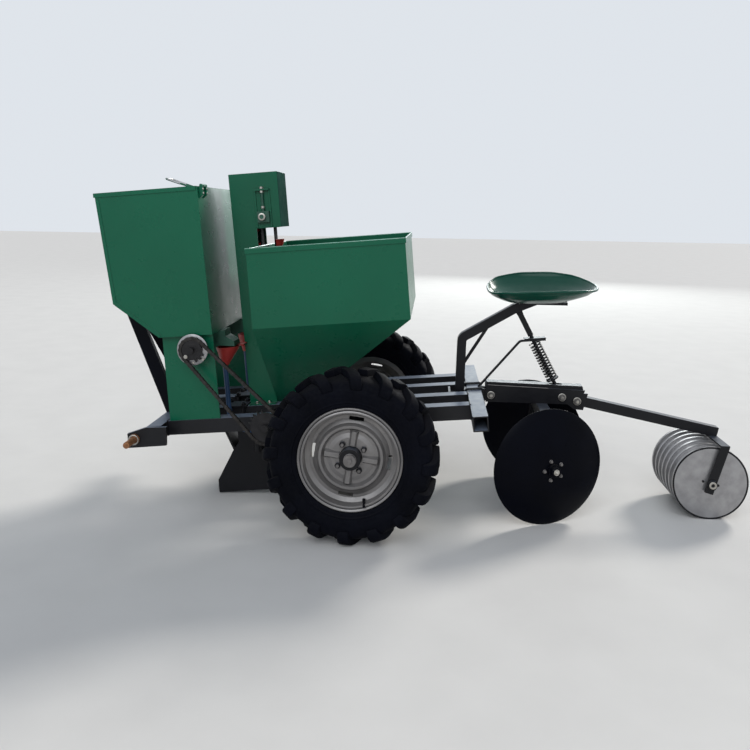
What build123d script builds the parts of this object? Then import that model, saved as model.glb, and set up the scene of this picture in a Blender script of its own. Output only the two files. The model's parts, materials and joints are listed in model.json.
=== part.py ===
from build123d import *
import os
from math import atan2, cos, hypot, pi, radians, sin

os.makedirs("parts", exist_ok=True)

# Driving dimensions, millimetres. Lengths along the machine are from the axle's middle, to the rear.
# Heights are above the axle, in the machine's own level frame.
NOSE_DOWN = 5.0  # degrees the parked frame leans forward, so the opener's tip rests on the ground
TYRE_RADIUS = 285.0
TYRE_WIDTH = 150.0
TRACK = 844.0
LUGS = 16
RIM_BEAD_RADIUS = 153.0
RIM_FLANGE_RADIUS = 169.0
RIM_WIDTH = 112.0
AXLE_RADIUS = 20.0

TUBE = 50.0
TUBE_WALL = 4.0
RAIL_TOP = 100.0
RAIL_FRONT = -662.0
RAIL_REAR = 396.0
RAIL_OUTER_Y = 235.0
RAIL_INNER_Y = 83.0
REAR_BEAM_LENGTH = 822.0

HITCH_SPAN = 683.0
HITCH_PIN_RADIUS = 11.0
HITCH_PIN_LENGTH = 62.0
HITCH_PIN_X = -754.0
HITCH_PIN_Z = 62.0
HITCH_PLATE = 12.0
COLLAR = 9.5
MAST_HEIGHT = 460.0
MAST_TOP_X = -872.0
TOP_LINK_RADIUS = 9.75
MAST_GAP = 52.0
MAST_BAR = 46.0

SHEET = 3.0
FERT_HALF_WIDTH = 277.0
FERT_TOP = 905.0
FERT_BOTTOM = 398.0
FERT_FRONT = -834.0
FERT_REAR = -476.0
LID_SHEET = 2.0
LID_LIP = 14.0

HOPPER_HALF_WIDTH = 349.0
HOPPER_TOP = 684.0
HOPPER_FRONT = -309.0
HOPPER_REAR = 218.0
HOPPER_FOLD = 418.0

TOWER_FRONT = -409.0
TOWER_LEAN = 10.0
TOWER_HALF_WIDTH = 75.0
HEAD_BACK = -240.0
HEAD_BOTTOM = 748.0
HEAD_TOP = 950.0

ELEVATOR_X = -304.0
ELEVATOR_TOP_Z = 789.0
JACKSHAFT_Z = 70.0
SHAFT_RADIUS = 12.5
BELT_RADIUS = 26.0
BELT_WIDTH = 44.0
BELT_THICK = 4.0
CUP_COUNT = 22
CUP_WIDTH = 40.0
CUP_REACH = 28.0
CUP_DEPTH = 28.0
METER_X = -537.0
METER_Z = 352.0
METER_Y = 150.0
CHAIN_PITCH = 15.875
CHAIN_WIDTH = 8.0
CHAIN_HEIGHT = 12.0
SMALL_TEETH = 16
LARGE_TEETH = 23

POST_SIZE = 33.0
SEAT_X = 653.0
SEAT_HEIGHT = 471.0  # of the plate's top over the axle
SEAT_LEAN = 6.0
DISC_RADIUS = 203.0
DISC_TOE = 20.0
DISC_Y = 230.0
DISC_X = 660.0
ROLLER_RADIUS = 131.0
ROLLER_WIDTH = 250.0
ROLLER_X = 1244.0
ARM_SIZE = 36.0
RUNNING_FIT = 0.05
GAP = 0.3

TILT = radians(NOSE_DOWN)
REARWARD = Vector(cos(TILT), 0, sin(TILT))
UPWARD = Vector(-sin(TILT), 0, cos(TILT))
ACROSS = Vector(0, 1, 0)

# The whole machine sits centred fore and aft on the origin, which is on the ground.
MAST_TOP_Z = HITCH_PIN_Z + MAST_HEIGHT
CHEEK_LAND = 24.0
FRONT_REACH = (MAST_TOP_X - CHEEK_LAND) * cos(TILT) - (MAST_TOP_Z + CHEEK_LAND) * sin(TILT)
AXLE_X = -(FRONT_REACH + ROLLER_X + ROLLER_RADIUS) / 2


def at(x, y, z):
    """World point of a place given in the machine's level frame, from the axle's middle."""
    return Vector(AXLE_X, 0, TYRE_RADIUS) + REARWARD * x + ACROSS * y + UPWARD * z


def side(y, x=0, z=0):
    """Plane facing the near side, its axes to the rear and up."""
    return Plane(at(x, y, z), x_dir=REARWARD, z_dir=(0, -1, 0))


def level(z, x=0, y=0):
    """Plane facing up, its axes to the rear and to the far side."""
    return Plane(at(x, y, z), x_dir=REARWARD, z_dir=UPWARD)


def across(x, y=0, z=0):
    """Plane facing the rear, its axes to the far side and up."""
    return Plane(at(x, y, z), x_dir=ACROSS, z_dir=REARWARD)


def over_axle(x, y, z):
    """World point at a height over the ground, its length counted from the axle."""
    return Vector(AXLE_X + x, y, z)


def facing(point, direction, x_dir=(1, 0, 0)):
    """Plane at a world point that looks along the direction."""
    return Plane(point, x_dir=x_dir, z_dir=direction)


def block(place, long, wide, high, mode=Mode.ADD):
    """Adds a box about the plane's origin."""
    with Locations(place):
        Box(long, wide, high, mode=mode)


def rod(place, radius, length, mode=Mode.ADD):
    """Adds a round bar that stands on the plane."""
    with BuildSketch(place) as section:
        Circle(radius)
    extrude(section.sketch, amount=length, mode=mode)


def plate(place, points, thick, mode=Mode.ADD):
    """Adds a flat plate of the given outline, half its thickness to each side of the plane."""
    with BuildSketch(place) as section:
        with BuildLine():
            Polyline(points, close=True)
        make_face()
    extrude(section.sketch, amount=thick / 2, both=True, mode=mode)


def nut(place, radius, length):
    """Adds a hexagon that stands on the plane."""
    with BuildSketch(place) as section:
        RegularPolygon(radius, 6)
    extrude(section.sketch, amount=length)


def square_tube(place, size, length, wall):
    """Adds a square tube that runs from the plane along its normal."""
    with BuildSketch(place) as section:
        Rectangle(size, size)
        Rectangle(size - 2 * wall, size - 2 * wall, mode=Mode.SUBTRACT)
    extrude(section.sketch, amount=length)


def bent_bar(line, size, round_bar=True):
    """Adds a bar of the given size along a bent line."""
    with BuildSketch(Plane(line @ 0, x_dir=ACROSS, z_dir=line % 0)) as section:
        if round_bar:
            Circle(size / 2)
        else:
            Rectangle(size, size)
    sweep(section.sketch, path=line)


def wrapped_band(y, first, second, wide, high):
    """Adds a closed band round two wheels, each given by its place and the band's middle radius."""
    for grow, mode in ((high / 2, Mode.ADD), (-high / 2, Mode.SUBTRACT)):
        with BuildSketch(side(y)) as section:
            for place, radius in (first, second):
                with Locations(place):
                    Circle(radius + grow)
            make_hull()
        extrude(section.sketch, amount=wide / 2, both=True, mode=mode)


def pitch_radius(teeth):
    """Radius of the circle that the chain's pins follow on a sprocket."""
    return CHAIN_PITCH / 2 / sin(pi / teeth)


TOOTH_THICK = 6.0
FREE_ARC = radians(42)


def sprocket(y, place, teeth, bore, towards):
    """Adds a sprocket with its teeth on the arc that the chain leaves free, towards the other one."""
    pitch = pitch_radius(teeth)
    root = pitch - CHAIN_HEIGHT / 2 - 0.2
    tip = pitch + 4
    heading = atan2(towards[1] - place[1], towards[0] - place[0])
    rod(side(y + TOOTH_THICK / 2, *place), root, TOOTH_THICK)
    for tooth in range(teeth):
        turn = heading + (tooth - teeth // 2) * 2 * pi / teeth
        if abs(turn - heading) > FREE_ARC:
            continue
        outline = [(out * cos(turn) - half * sin(turn), out * sin(turn) + half * cos(turn))
                   for out, half in ((root - 3, -5), (tip, -2), (tip, 2), (root - 3, 5))]
        plate(side(y, *place), outline, TOOTH_THICK)
    rod(side(y + 16, *place), bore + 10, 20)
    rod(side(y + 40, *place), bore, 80, mode=Mode.SUBTRACT)


RAIL_BOTTOM = RAIL_TOP - TUBE
RAIL_MIDDLE = RAIL_TOP - TUBE / 2

# Four long rails, with the jackshaft's hole through every one
with BuildPart() as frame_rails:
    for rail_y in (-RAIL_OUTER_Y, -RAIL_INNER_Y, RAIL_INNER_Y, RAIL_OUTER_Y):
        square_tube(across(RAIL_FRONT, rail_y, RAIL_MIDDLE), TUBE, RAIL_REAR - RAIL_FRONT, TUBE_WALL)
    rod(side(RAIL_OUTER_Y + TUBE, ELEVATOR_X, JACKSHAFT_Z), SHAFT_RADIUS + 3,
        2 * RAIL_OUTER_Y + 2 * TUBE, mode=Mode.SUBTRACT)
frame_rails.part.label = "frame_rails"
export_step(frame_rails.part, "parts/frame_rails.step")

# Front and rear cross beams, against the rails' ends
FRONT_BEAM_LENGTH = HITCH_SPAN - 2 * (COLLAR + HITCH_PLATE)
with BuildPart() as front_beam:
    square_tube(side(FRONT_BEAM_LENGTH / 2, RAIL_FRONT - TUBE / 2, RAIL_MIDDLE), TUBE,
                FRONT_BEAM_LENGTH, TUBE_WALL)
front_beam.part.label = "front_beam"
export_step(front_beam.part, "parts/front_beam.step")

with BuildPart() as rear_beam:
    square_tube(side(REAR_BEAM_LENGTH / 2, RAIL_REAR + TUBE / 2, RAIL_MIDDLE), TUBE,
                REAR_BEAM_LENGTH, TUBE_WALL)
rear_beam.part.label = "rear_beam"
export_step(rear_beam.part, "parts/rear_beam.step")

# Lower hitch plates on the front beam's ends
PLATE_OUTLINE = [(-778, 32), (-646, 34), (-640, 98), (-712, 100), (-778, 82)]
PLATE_INNER_Y = FRONT_BEAM_LENGTH / 2
PLATE_OUTER_Y = PLATE_INNER_Y + HITCH_PLATE
with BuildPart() as hitch_plates:
    for hand in (-1, 1):
        plate(side(hand * (PLATE_INNER_Y + HITCH_PLATE / 2)), PLATE_OUTLINE, HITCH_PLATE)
    rod(side(HITCH_SPAN, HITCH_PIN_X, HITCH_PIN_Z), HITCH_PIN_RADIUS, 2 * HITCH_SPAN, mode=Mode.SUBTRACT)
hitch_plates.part.label = "hitch_plates"
export_step(hitch_plates.part, "parts/hitch_plates.step")

# Lower hitch pins: collar, pin and the nut inside the plate
PIN_NUT = 16.0
with BuildPart() as hitch_pins:
    for hand in (-1, 1):
        root = facing(at(HITCH_PIN_X, hand * PLATE_INNER_Y, HITCH_PIN_Z), (0, hand, 0), REARWARD)
        rod(root, HITCH_PIN_RADIUS, HITCH_PLATE)
        rod(root.offset(HITCH_PLATE), 18, COLLAR)
        rod(root.offset(HITCH_PLATE + COLLAR), HITCH_PIN_RADIUS, HITCH_PIN_LENGTH)
        nut(root.offset(-PIN_NUT), 18, PIN_NUT)
hitch_pins.part.label = "hitch_pins"
export_step(hitch_pins.part, "parts/hitch_pins.step")

# Mast: two leaning bars from the front beam to the top link's cheeks
MAST_FOOT_X = RAIL_FRONT - TUBE / 2
MAST_FOOT_Y = 118.0
MAST_HEAD_Y = 46.0
MAST_THICK = 24.0
CHEEK = 12.0
CHEEK_Y = (MAST_GAP + CHEEK) / 2
CHEEK_OUTLINE = [(-CHEEK_LAND, -CHEEK_LAND), (30, -70), (60, -70), (44, CHEEK_LAND), (-CHEEK_LAND, CHEEK_LAND)]
with BuildPart() as mast:
    for hand in (-1, 1):
        foot = at(MAST_FOOT_X, hand * MAST_FOOT_Y, RAIL_TOP)
        head = at(MAST_TOP_X + 33, hand * MAST_HEAD_Y, MAST_TOP_Z - 30)
        lean = (head - foot).normalized()
        with BuildSketch(facing(foot - lean * 30, lean, REARWARD)) as bar:
            Rectangle(MAST_BAR, MAST_THICK)
        extrude(bar.sketch, amount=(head - foot).length + 30)
        plate(side(hand * CHEEK_Y, MAST_TOP_X, MAST_TOP_Z), CHEEK_OUTLINE, CHEEK)
    block(level(RAIL_TOP - 100, MAST_FOOT_X), 200, 2 * MAST_FOOT_Y + 200, 200, mode=Mode.SUBTRACT)
    block(level(MAST_TOP_Z - 20, MAST_TOP_X + 30), 200, MAST_GAP, 100, mode=Mode.SUBTRACT)
    rod(side(100, MAST_TOP_X, MAST_TOP_Z), TOP_LINK_RADIUS, 200, mode=Mode.SUBTRACT)
mast.part.label = "mast"
export_step(mast.part, "parts/mast.step")

# Fixed axle through both wheels, in blocks under the rails
WHEEL_Y = TRACK / 2
HUB_OUT = 56.0
AXLE_HALF = WHEEL_Y + HUB_OUT + 12
with BuildPart() as axle:
    rod(side(AXLE_HALF), AXLE_RADIUS, 2 * AXLE_HALF)
axle.part.label = "axle"
export_step(axle.part, "parts/axle.step")

BLOCK_LAND = 14.0
with BuildPart() as axle_blocks:
    for rail_y in (-RAIL_OUTER_Y, -RAIL_INNER_Y, RAIL_INNER_Y, RAIL_OUTER_Y):
        with BuildSketch(side(rail_y)) as section:
            Circle(AXLE_RADIUS + 18)
            with Locations((0, RAIL_BOTTOM / 2)):
                Rectangle(2 * AXLE_RADIUS + 36, RAIL_BOTTOM)
            with Locations((0, RAIL_BOTTOM - BLOCK_LAND / 2)):
                Rectangle(130, BLOCK_LAND)
            Circle(AXLE_RADIUS, mode=Mode.SUBTRACT)
        extrude(section.sketch, amount=20, both=True)
axle_blocks.part.label = "axle_blocks"
export_step(axle_blocks.part, "parts/axle_blocks.step")

# One side of the tyre's carcass as a straight piece at the top of the wheel, mitred at both ends
CARCASS_SIDES = 2 * LUGS
CARCASS = TYRE_RADIUS - 22
CARCASS_HALF = TYRE_WIDTH / 2 - 6
CROWN_HALF = TYRE_WIDTH / 2 - 20
BULGE_RADIUS = TYRE_RADIUS - 62
BEAD_HALF = RIM_WIDTH / 2 - 3
mitre = pi / CARCASS_SIDES
with BuildPart() as carcass_side:
    with BuildSketch(Plane.YZ):
        with BuildLine():
            Polyline([(-BEAD_HALF, RIM_BEAD_RADIUS), (-BEAD_HALF, RIM_FLANGE_RADIUS + 3),
                      (-CARCASS_HALF, BULGE_RADIUS), (-CROWN_HALF, CARCASS), (CROWN_HALF, CARCASS),
                      (CARCASS_HALF, BULGE_RADIUS), (BEAD_HALF, RIM_FLANGE_RADIUS + 3),
                      (BEAD_HALF, RIM_BEAD_RADIUS)], close=True)
        make_face()
    extrude(amount=TYRE_RADIUS * sin(mitre) + 5, both=True)
    with BuildSketch(Plane.XZ):
        with BuildLine():
            Polyline([(0, 0), (TYRE_RADIUS * sin(mitre), TYRE_RADIUS * cos(mitre)),
                      (-TYRE_RADIUS * sin(mitre), TYRE_RADIUS * cos(mitre))], close=True)
        make_face()
    extrude(amount=TYRE_WIDTH, both=True, mode=Mode.INTERSECT)

# One lug of each row: slanted bar, thinned over the shoulder, its top in two short chords
LUG_PLAN = [(-8, -38), (80, 1), (80, 41), (-8, -4)]
CHORD = radians(9)
lug_pair = []
for row in (-1, 1):
    with BuildPart() as lug:
        with BuildSketch(Plane.XY.offset(TYRE_RADIUS - 65)):
            with BuildLine():
                Polyline([(along, row * out) for out, along in LUG_PLAN], close=True)
            make_face()
        extrude(amount=90)
        shoulder = TYRE_WIDTH / 2
        with BuildSketch(Plane.YZ):
            with BuildLine():
                Polyline([(row * out, up) for out, up in (
                    (-20, 200), (-20, TYRE_RADIUS + 2), (34, TYRE_RADIUS + 2), (62, TYRE_RADIUS - 8),
                    (shoulder, TYRE_RADIUS - 26), (shoulder, TYRE_RADIUS - 55), (40, 200))], close=True)
            make_face()
        extrude(amount=60, both=True, mode=Mode.INTERSECT)
        with BuildSketch(Plane.XZ):
            with BuildLine():
                Polyline([(0, 100)] + [(TYRE_RADIUS * sin(CHORD * step), TYRE_RADIUS * cos(CHORD * step))
                                       for step in (-1, 0, 1)], close=True)
            make_face()
        extrude(amount=TYRE_WIDTH, both=True, mode=Mode.INTERSECT)
    lug_pair.append(lug.part)


def round_wheel(hand, count, first=0.0):
    """Places round a wheel's middle, each turned so that its own up points outward."""
    turns = [2 * pi * (first + step) / count for step in range(count)]
    middle = over_axle(0, hand * WHEEL_Y, TYRE_RADIUS)
    return [Plane(middle, x_dir=(cos(turn), 0, -sin(turn)), z_dir=(sin(turn), 0, cos(turn))) for turn in turns]


# Ground wheels
WELL_RADIUS = 132.0
DISC_FACE = [(24, 36), (24, 64), (20, 78), (20, 88), (34, 96), (34, 104), (24, 112), (16, 126), (16, 136)]
DISC_THICK = 5.0
HUB_RADIUS = 34.0
STUD_CIRCLE = 50.0
RIB_PHASE = 1 / 12  # of a quarter turn
STUD_PHASE = 0.63
for wheel_name, hand in (("near", -1), ("far", 1)):
    wheel_middle = over_axle(0, hand * WHEEL_Y, TYRE_RADIUS)
    wheel_plane = Plane(wheel_middle, x_dir=(0, hand, 0), z_dir=(1, 0, 0))
    spin_axis = Axis(wheel_middle, (0, 1, 0))
    with BuildPart() as tyre:
        with Locations(*round_wheel(hand, CARCASS_SIDES)):
            add(carcass_side.part)
        for lug_part, first in zip(lug_pair, (0.0, 0.5)):
            with Locations(*round_wheel(hand, LUGS, first)):
                add(lug_part)
    tyre.part.label = "tyre_" + wheel_name
    export_step(tyre.part, "parts/tyre_" + wheel_name + ".step")

    # Rim with its drop centre, and the pressed disc with four ribs and four slots
    with BuildPart() as rim:
        with BuildSketch(wheel_plane):
            with BuildLine():
                w = RIM_WIDTH / 2
                Polyline([(-w, RIM_FLANGE_RADIUS), (-w, RIM_BEAD_RADIUS - 3), (-22, RIM_BEAD_RADIUS - 3),
                          (-14, WELL_RADIUS), (14, WELL_RADIUS), (22, RIM_BEAD_RADIUS - 3),
                          (w, RIM_BEAD_RADIUS - 3), (w, RIM_FLANGE_RADIUS), (w - 3, RIM_FLANGE_RADIUS),
                          (w - 3, RIM_BEAD_RADIUS), (-w + 3, RIM_BEAD_RADIUS), (-w + 3, RIM_FLANGE_RADIUS)],
                         close=True)
            make_face()
            with BuildLine():
                Polyline(DISC_FACE + [(x - DISC_THICK, r) for x, r in reversed(DISC_FACE)], close=True)
            make_face()
        revolve(axis=spin_axis)
        for rib_place in round_wheel(hand, 4, RIB_PHASE):
            rib_plane = Plane(rib_place.origin + rib_place.z_dir * (HUB_RADIUS + 4), x_dir=(0, hand, 0),
                              z_dir=rib_place.z_dir)
            with BuildSketch(rib_plane) as rib:
                with BuildLine():
                    Polyline([(19.5, -15), (33, -7), (33, 7), (19.5, 15)], close=True)
                make_face()
            extrude(rib.sketch, amount=48)
            slot_plane = Plane(rib_place.origin + rib_place.z_dir * 119, x_dir=(0, hand, 0),
                               z_dir=rib_place.z_dir)
            with BuildSketch(slot_plane) as slot:
                with Locations((22, 0)):
                    Rectangle(30, 48)
            extrude(slot.sketch, amount=12, mode=Mode.SUBTRACT)
        for stud_place in round_wheel(hand, 4, STUD_PHASE):
            rod(facing(stud_place.origin + stud_place.z_dir * STUD_CIRCLE, (0, hand, 0)), 6, 60,
                mode=Mode.SUBTRACT)
    rim.part.label = "rim_" + wheel_name
    export_step(rim.part, "parts/rim_" + wheel_name + ".step")

    # Hub on the axle, with the four wheel studs and nuts
    with BuildPart() as hub:
        with BuildSketch(wheel_plane):
            with BuildLine():
                Polyline([(-38, AXLE_RADIUS + RUNNING_FIT), (-38, HUB_RADIUS), (8, HUB_RADIUS), (8, 62),
                          (19, 62), (19, HUB_RADIUS), (HUB_OUT, HUB_RADIUS),
                          (HUB_OUT, AXLE_RADIUS + RUNNING_FIT)], close=True)
            make_face()
        revolve(axis=spin_axis)
        for stud_place in round_wheel(hand, 4, STUD_PHASE):
            stud_foot = stud_place.origin + stud_place.z_dir * STUD_CIRCLE + Vector(0, hand * 18, 0)
            rod(facing(stud_foot, (0, hand, 0)), 6, 20)
            nut(facing(stud_foot + Vector(0, hand * 6, 0), (0, hand, 0)), 10, 9)
    hub.part.label = "hub_" + wheel_name
    export_step(hub.part, "parts/hub_" + wheel_name + ".step")

# Fertiliser hopper: deep box with a sloping front foot, open at the top, folded edges on its sides
FERT_KNEE = (-806, 524)
FERT_TOE = (-655, FERT_BOTTOM)
FERT_SIDE = [(FERT_FRONT, FERT_TOP), (FERT_REAR, FERT_TOP), (FERT_REAR + 8, FERT_BOTTOM), FERT_TOE, FERT_KNEE]
METER_MOUTH = 60.0
FOLD = 1.5
with BuildPart() as fertiliser_hopper:
    plate(side(0), FERT_SIDE, 2 * FERT_HALF_WIDTH)
    mouth = fertiliser_hopper.faces().sort_by(Axis.Z)[-1]
    offset(amount=-SHEET, openings=mouth)
    for hand in (-1, 1):
        block(level(FERT_BOTTOM, METER_X, hand * METER_Y), METER_MOUTH, METER_MOUTH, 20, mode=Mode.SUBTRACT)
        plate(side(hand * (FERT_HALF_WIDTH + FOLD / 2)),
              [(FERT_FRONT + 2, FERT_TOP - 20), (FERT_FRONT + 14, FERT_TOP - 20), (FERT_KNEE[0] + 12, FERT_KNEE[1] + 4),
               (FERT_TOE[0] + 8, FERT_BOTTOM + 10), (FERT_TOE[0], FERT_BOTTOM), FERT_KNEE], FOLD)
fertiliser_hopper.part.label = "fertiliser_hopper"
export_step(fertiliser_hopper.part, "parts/fertiliser_hopper.step")

# Lid with a turned-down lip and a wire handle, hinged along the rear edge
HINGE_X = FERT_REAR + 9
HINGE_Z = FERT_TOP + 4
HINGE_Y = 230.0
LID_FRONT = FERT_FRONT - LID_SHEET - 1
LID_BACK = FERT_REAR - 4
LID_HALF = FERT_HALF_WIDTH + LID_SHEET + 1
LID_MIDDLE = (LID_FRONT + LID_BACK) / 2
LID_REST = 0.5
LIP_MIDDLE = FERT_TOP + LID_SHEET - LID_LIP / 2
HANDLE_RISE = Vector(-101, 0, 42).normalized()
with BuildPart() as lid:
    block(level(FERT_TOP + LID_REST + LID_SHEET / 2, LID_MIDDLE), LID_BACK - LID_FRONT, 2 * LID_HALF, LID_SHEET)
    block(level(LIP_MIDDLE, LID_FRONT + LID_SHEET / 2), LID_SHEET, 2 * LID_HALF, LID_LIP)
    for hand in (-1, 1):
        block(level(LIP_MIDDLE, LID_MIDDLE, hand * (LID_HALF - LID_SHEET / 2)), LID_BACK - LID_FRONT, LID_SHEET,
              LID_LIP)
        block(level(FERT_TOP + LID_REST + LID_SHEET / 2, FERT_REAR - 3, hand * HINGE_Y), 16, 30, LID_SHEET)
        rod(side(hand * HINGE_Y + 15, HINGE_X, HINGE_Z), 5.5, 30)
        block(level(FERT_TOP + 1.5, FERT_REAR + 3, hand * HINGE_Y), 12, 30, LID_SHEET)
        rod(side(hand * HINGE_Y + 16, HINGE_X, HINGE_Z), 3 + RUNNING_FIT, 32, mode=Mode.SUBTRACT)
    handle_x = REARWARD * HANDLE_RISE.X + UPWARD * HANDLE_RISE.Z
    handle_plane = Plane(at(-531, -100, FERT_TOP + 3), x_dir=handle_x, z_dir=handle_x.cross(ACROSS))
    with BuildLine(handle_plane) as handle_line:
        FilletPolyline([(-1, -35), (109, -35), (109, 35), (-1, 35)], radius=12)
    bent_bar(handle_line.line, 6)
lid.part.label = "lid"
export_step(lid.part, "parts/lid.step")


def fert_rear(z):
    """Rear wall's outer face at a height, as it leans."""
    return FERT_REAR + 8 * (FERT_TOP - z) / (FERT_TOP - FERT_BOTTOM)


with BuildPart() as lid_hinges:
    for hand in (-1, 1):
        rod(side(hand * HINGE_Y + 28, HINGE_X, HINGE_Z), 3, 56)
        for end in (-1, 1):
            ear_y = hand * HINGE_Y + end * 22
            rod(side(ear_y + 6, HINGE_X, HINGE_Z), 5.5, 12)
            plate(side(ear_y), [(fert_rear(FERT_TOP), FERT_TOP), (fert_rear(FERT_TOP - 40), FERT_TOP - 40),
                                (HINGE_X + 4, FERT_TOP - 30), (HINGE_X + 4, HINGE_Z), (HINGE_X, HINGE_Z)], 12)
lid_hinges.part.label = "lid_hinges"
export_step(lid_hinges.part, "parts/lid_hinges.step")

# Side panels that carry the fertiliser hopper on the outer rails
PANEL_FRONT = -651.0
PANEL_REAR = -472.0
PANEL_THICK = 4.0
PANEL_Y = RAIL_OUTER_Y + TUBE / 2 - PANEL_THICK
METER_SHAFT = 9.9
with BuildPart() as fertiliser_panels:
    for hand in (-1, 1):
        block(level((RAIL_TOP + FERT_BOTTOM) / 2, (PANEL_FRONT + PANEL_REAR) / 2, hand * PANEL_Y),
              PANEL_REAR - PANEL_FRONT, PANEL_THICK, FERT_BOTTOM - RAIL_TOP)
    rod(side(RAIL_OUTER_Y + TUBE, METER_X, METER_Z), METER_SHAFT + 0.1, 2 * RAIL_OUTER_Y + 2 * TUBE,
        mode=Mode.SUBTRACT)
fertiliser_panels.part.label = "fertiliser_panels"
export_step(fertiliser_panels.part, "parts/fertiliser_panels.step")

# Meters below the hopper, each with its chute over the funnel
METER_OUTLINE = [(METER_X - 45, FERT_BOTTOM), (METER_X - 45, METER_Z + 4), (METER_X - 24, METER_Z - 22),
                 (METER_X + 24, METER_Z - 22), (METER_X + 52, METER_Z - 7), (METER_X + 117, METER_Z - 14),
                 (METER_X + 117, METER_Z + 4), (METER_X + 87, METER_Z + 24), (METER_X + 87, FERT_BOTTOM)]
with BuildPart() as fertiliser_meters:
    for hand in (-1, 1):
        plate(side(hand * METER_Y), METER_OUTLINE, 70)
        rod(side(hand * METER_Y + 50, METER_X, METER_Z), METER_SHAFT + 0.1, 100, mode=Mode.SUBTRACT)
fertiliser_meters.part.label = "fertiliser_meters"
export_step(fertiliser_meters.part, "parts/fertiliser_meters.step")

CHAIN_Y = RAIL_OUTER_Y + 65.0
with BuildPart() as meter_shaft:
    rod(side(PANEL_Y + 12, METER_X, METER_Z), METER_SHAFT, PANEL_Y + 12 + CHAIN_Y + 16)
meter_shaft.part.label = "meter_shaft"
export_step(meter_shaft.part, "parts/meter_shaft.step")

# Red funnels under the chutes, strapped to the tower
FUNNEL_TOP = (METER_X + 85, METER_Z - 17)
FUNNEL_FOOT = (METER_X + 67, METER_Z - 88)
HOSE_RADIUS = 9.0
with BuildPart() as fertiliser_funnels:
    for hand in (-1, 1):
        for trim, mode in ((0, Mode.ADD), (2, Mode.SUBTRACT)):
            if mode == Mode.SUBTRACT:
                block(level(FUNNEL_TOP[1] - 3, TOWER_FRONT - 5, hand * (TOWER_HALF_WIDTH + 27)), 24, 54, 4)
            with BuildSketch(level(FUNNEL_TOP[1] + trim / 20, FUNNEL_TOP[0], hand * METER_Y)):
                Circle(44 - trim)
            with BuildSketch(level(FUNNEL_FOOT[1] - trim / 20, FUNNEL_FOOT[0], hand * METER_Y)):
                Circle(HOSE_RADIUS + 2 - trim)
            loft(mode=mode)
fertiliser_funnels.part.label = "fertiliser_funnels"
export_step(fertiliser_funnels.part, "parts/fertiliser_funnels.step")

# Hoses from the funnels, down between the rails to the spouts beside the opener
SPOUT_X = -392.0
SPOUT_Y = 80.0
SPOUT_TOP = -28.5
with BuildPart() as fertiliser_hoses:
    for hand in (-1, 1):
        route = [at(x, hand * y, z) for x, y, z in (
            (FUNNEL_FOOT[0], METER_Y, FUNNEL_FOOT[1]), (FUNNEL_FOOT[0], METER_Y, RAIL_BOTTOM - 6),
            (SPOUT_X, SPOUT_Y, RAIL_BOTTOM - 62), (SPOUT_X, SPOUT_Y, SPOUT_TOP - 14))]
        with BuildLine() as hose_line:
            FilletPolyline(*route, radius=25)
        with BuildSketch(Plane(route[0], x_dir=ACROSS, z_dir=-UPWARD)) as section:
            Circle(HOSE_RADIUS)
        sweep(section.sketch, path=hose_line.line)
fertiliser_hoses.part.label = "fertiliser_hoses"
export_step(fertiliser_hoses.part, "parts/fertiliser_hoses.step")

# Jackshaft through the rails, at the elevator's foot
JACKSHAFT_HALF = CHAIN_Y + 20
with BuildPart() as jackshaft:
    rod(side(JACKSHAFT_HALF, ELEVATOR_X, JACKSHAFT_Z), SHAFT_RADIUS, 2 * JACKSHAFT_HALF)
jackshaft.part.label = "jackshaft"
export_step(jackshaft.part, "parts/jackshaft.step")

# Chain drive on the near side, from the jackshaft up to the meter shaft
METER_END = (METER_X, METER_Z)
JACK_END = (ELEVATOR_X, JACKSHAFT_Z)
with BuildPart() as drive_chain:
    wrapped_band(-CHAIN_Y, (METER_END, pitch_radius(SMALL_TEETH)), (JACK_END, pitch_radius(LARGE_TEETH)),
                 CHAIN_WIDTH, CHAIN_HEIGHT)
drive_chain.part.label = "drive_chain"
export_step(drive_chain.part, "parts/drive_chain.step")

with BuildPart() as drive_sprockets:
    rod(side(-CHAIN_Y + 11, *METER_END), 54, 3)
    sprocket(-CHAIN_Y, METER_END, SMALL_TEETH, METER_SHAFT, JACK_END)
    sprocket(-CHAIN_Y, JACK_END, LARGE_TEETH, SHAFT_RADIUS, METER_END)
drive_sprockets.part.label = "drive_sprockets"
export_step(drive_sprockets.part, "parts/drive_sprockets.step")

# Ground drive on the far side, from the axle up to the jackshaft
AXLE_END = (0, 0)
with BuildPart() as ground_chain:
    wrapped_band(CHAIN_Y, (AXLE_END, pitch_radius(LARGE_TEETH)), (JACK_END, pitch_radius(SMALL_TEETH)),
                 CHAIN_WIDTH, CHAIN_HEIGHT)
ground_chain.part.label = "ground_chain"
export_step(ground_chain.part, "parts/ground_chain.step")

with BuildPart() as ground_sprockets:
    sprocket(CHAIN_Y, AXLE_END, LARGE_TEETH, AXLE_RADIUS, JACK_END)
    sprocket(CHAIN_Y, JACK_END, SMALL_TEETH, SHAFT_RADIUS, AXLE_END)
ground_sprockets.part.label = "ground_sprockets"
export_step(ground_sprockets.part, "parts/ground_sprockets.step")

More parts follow.
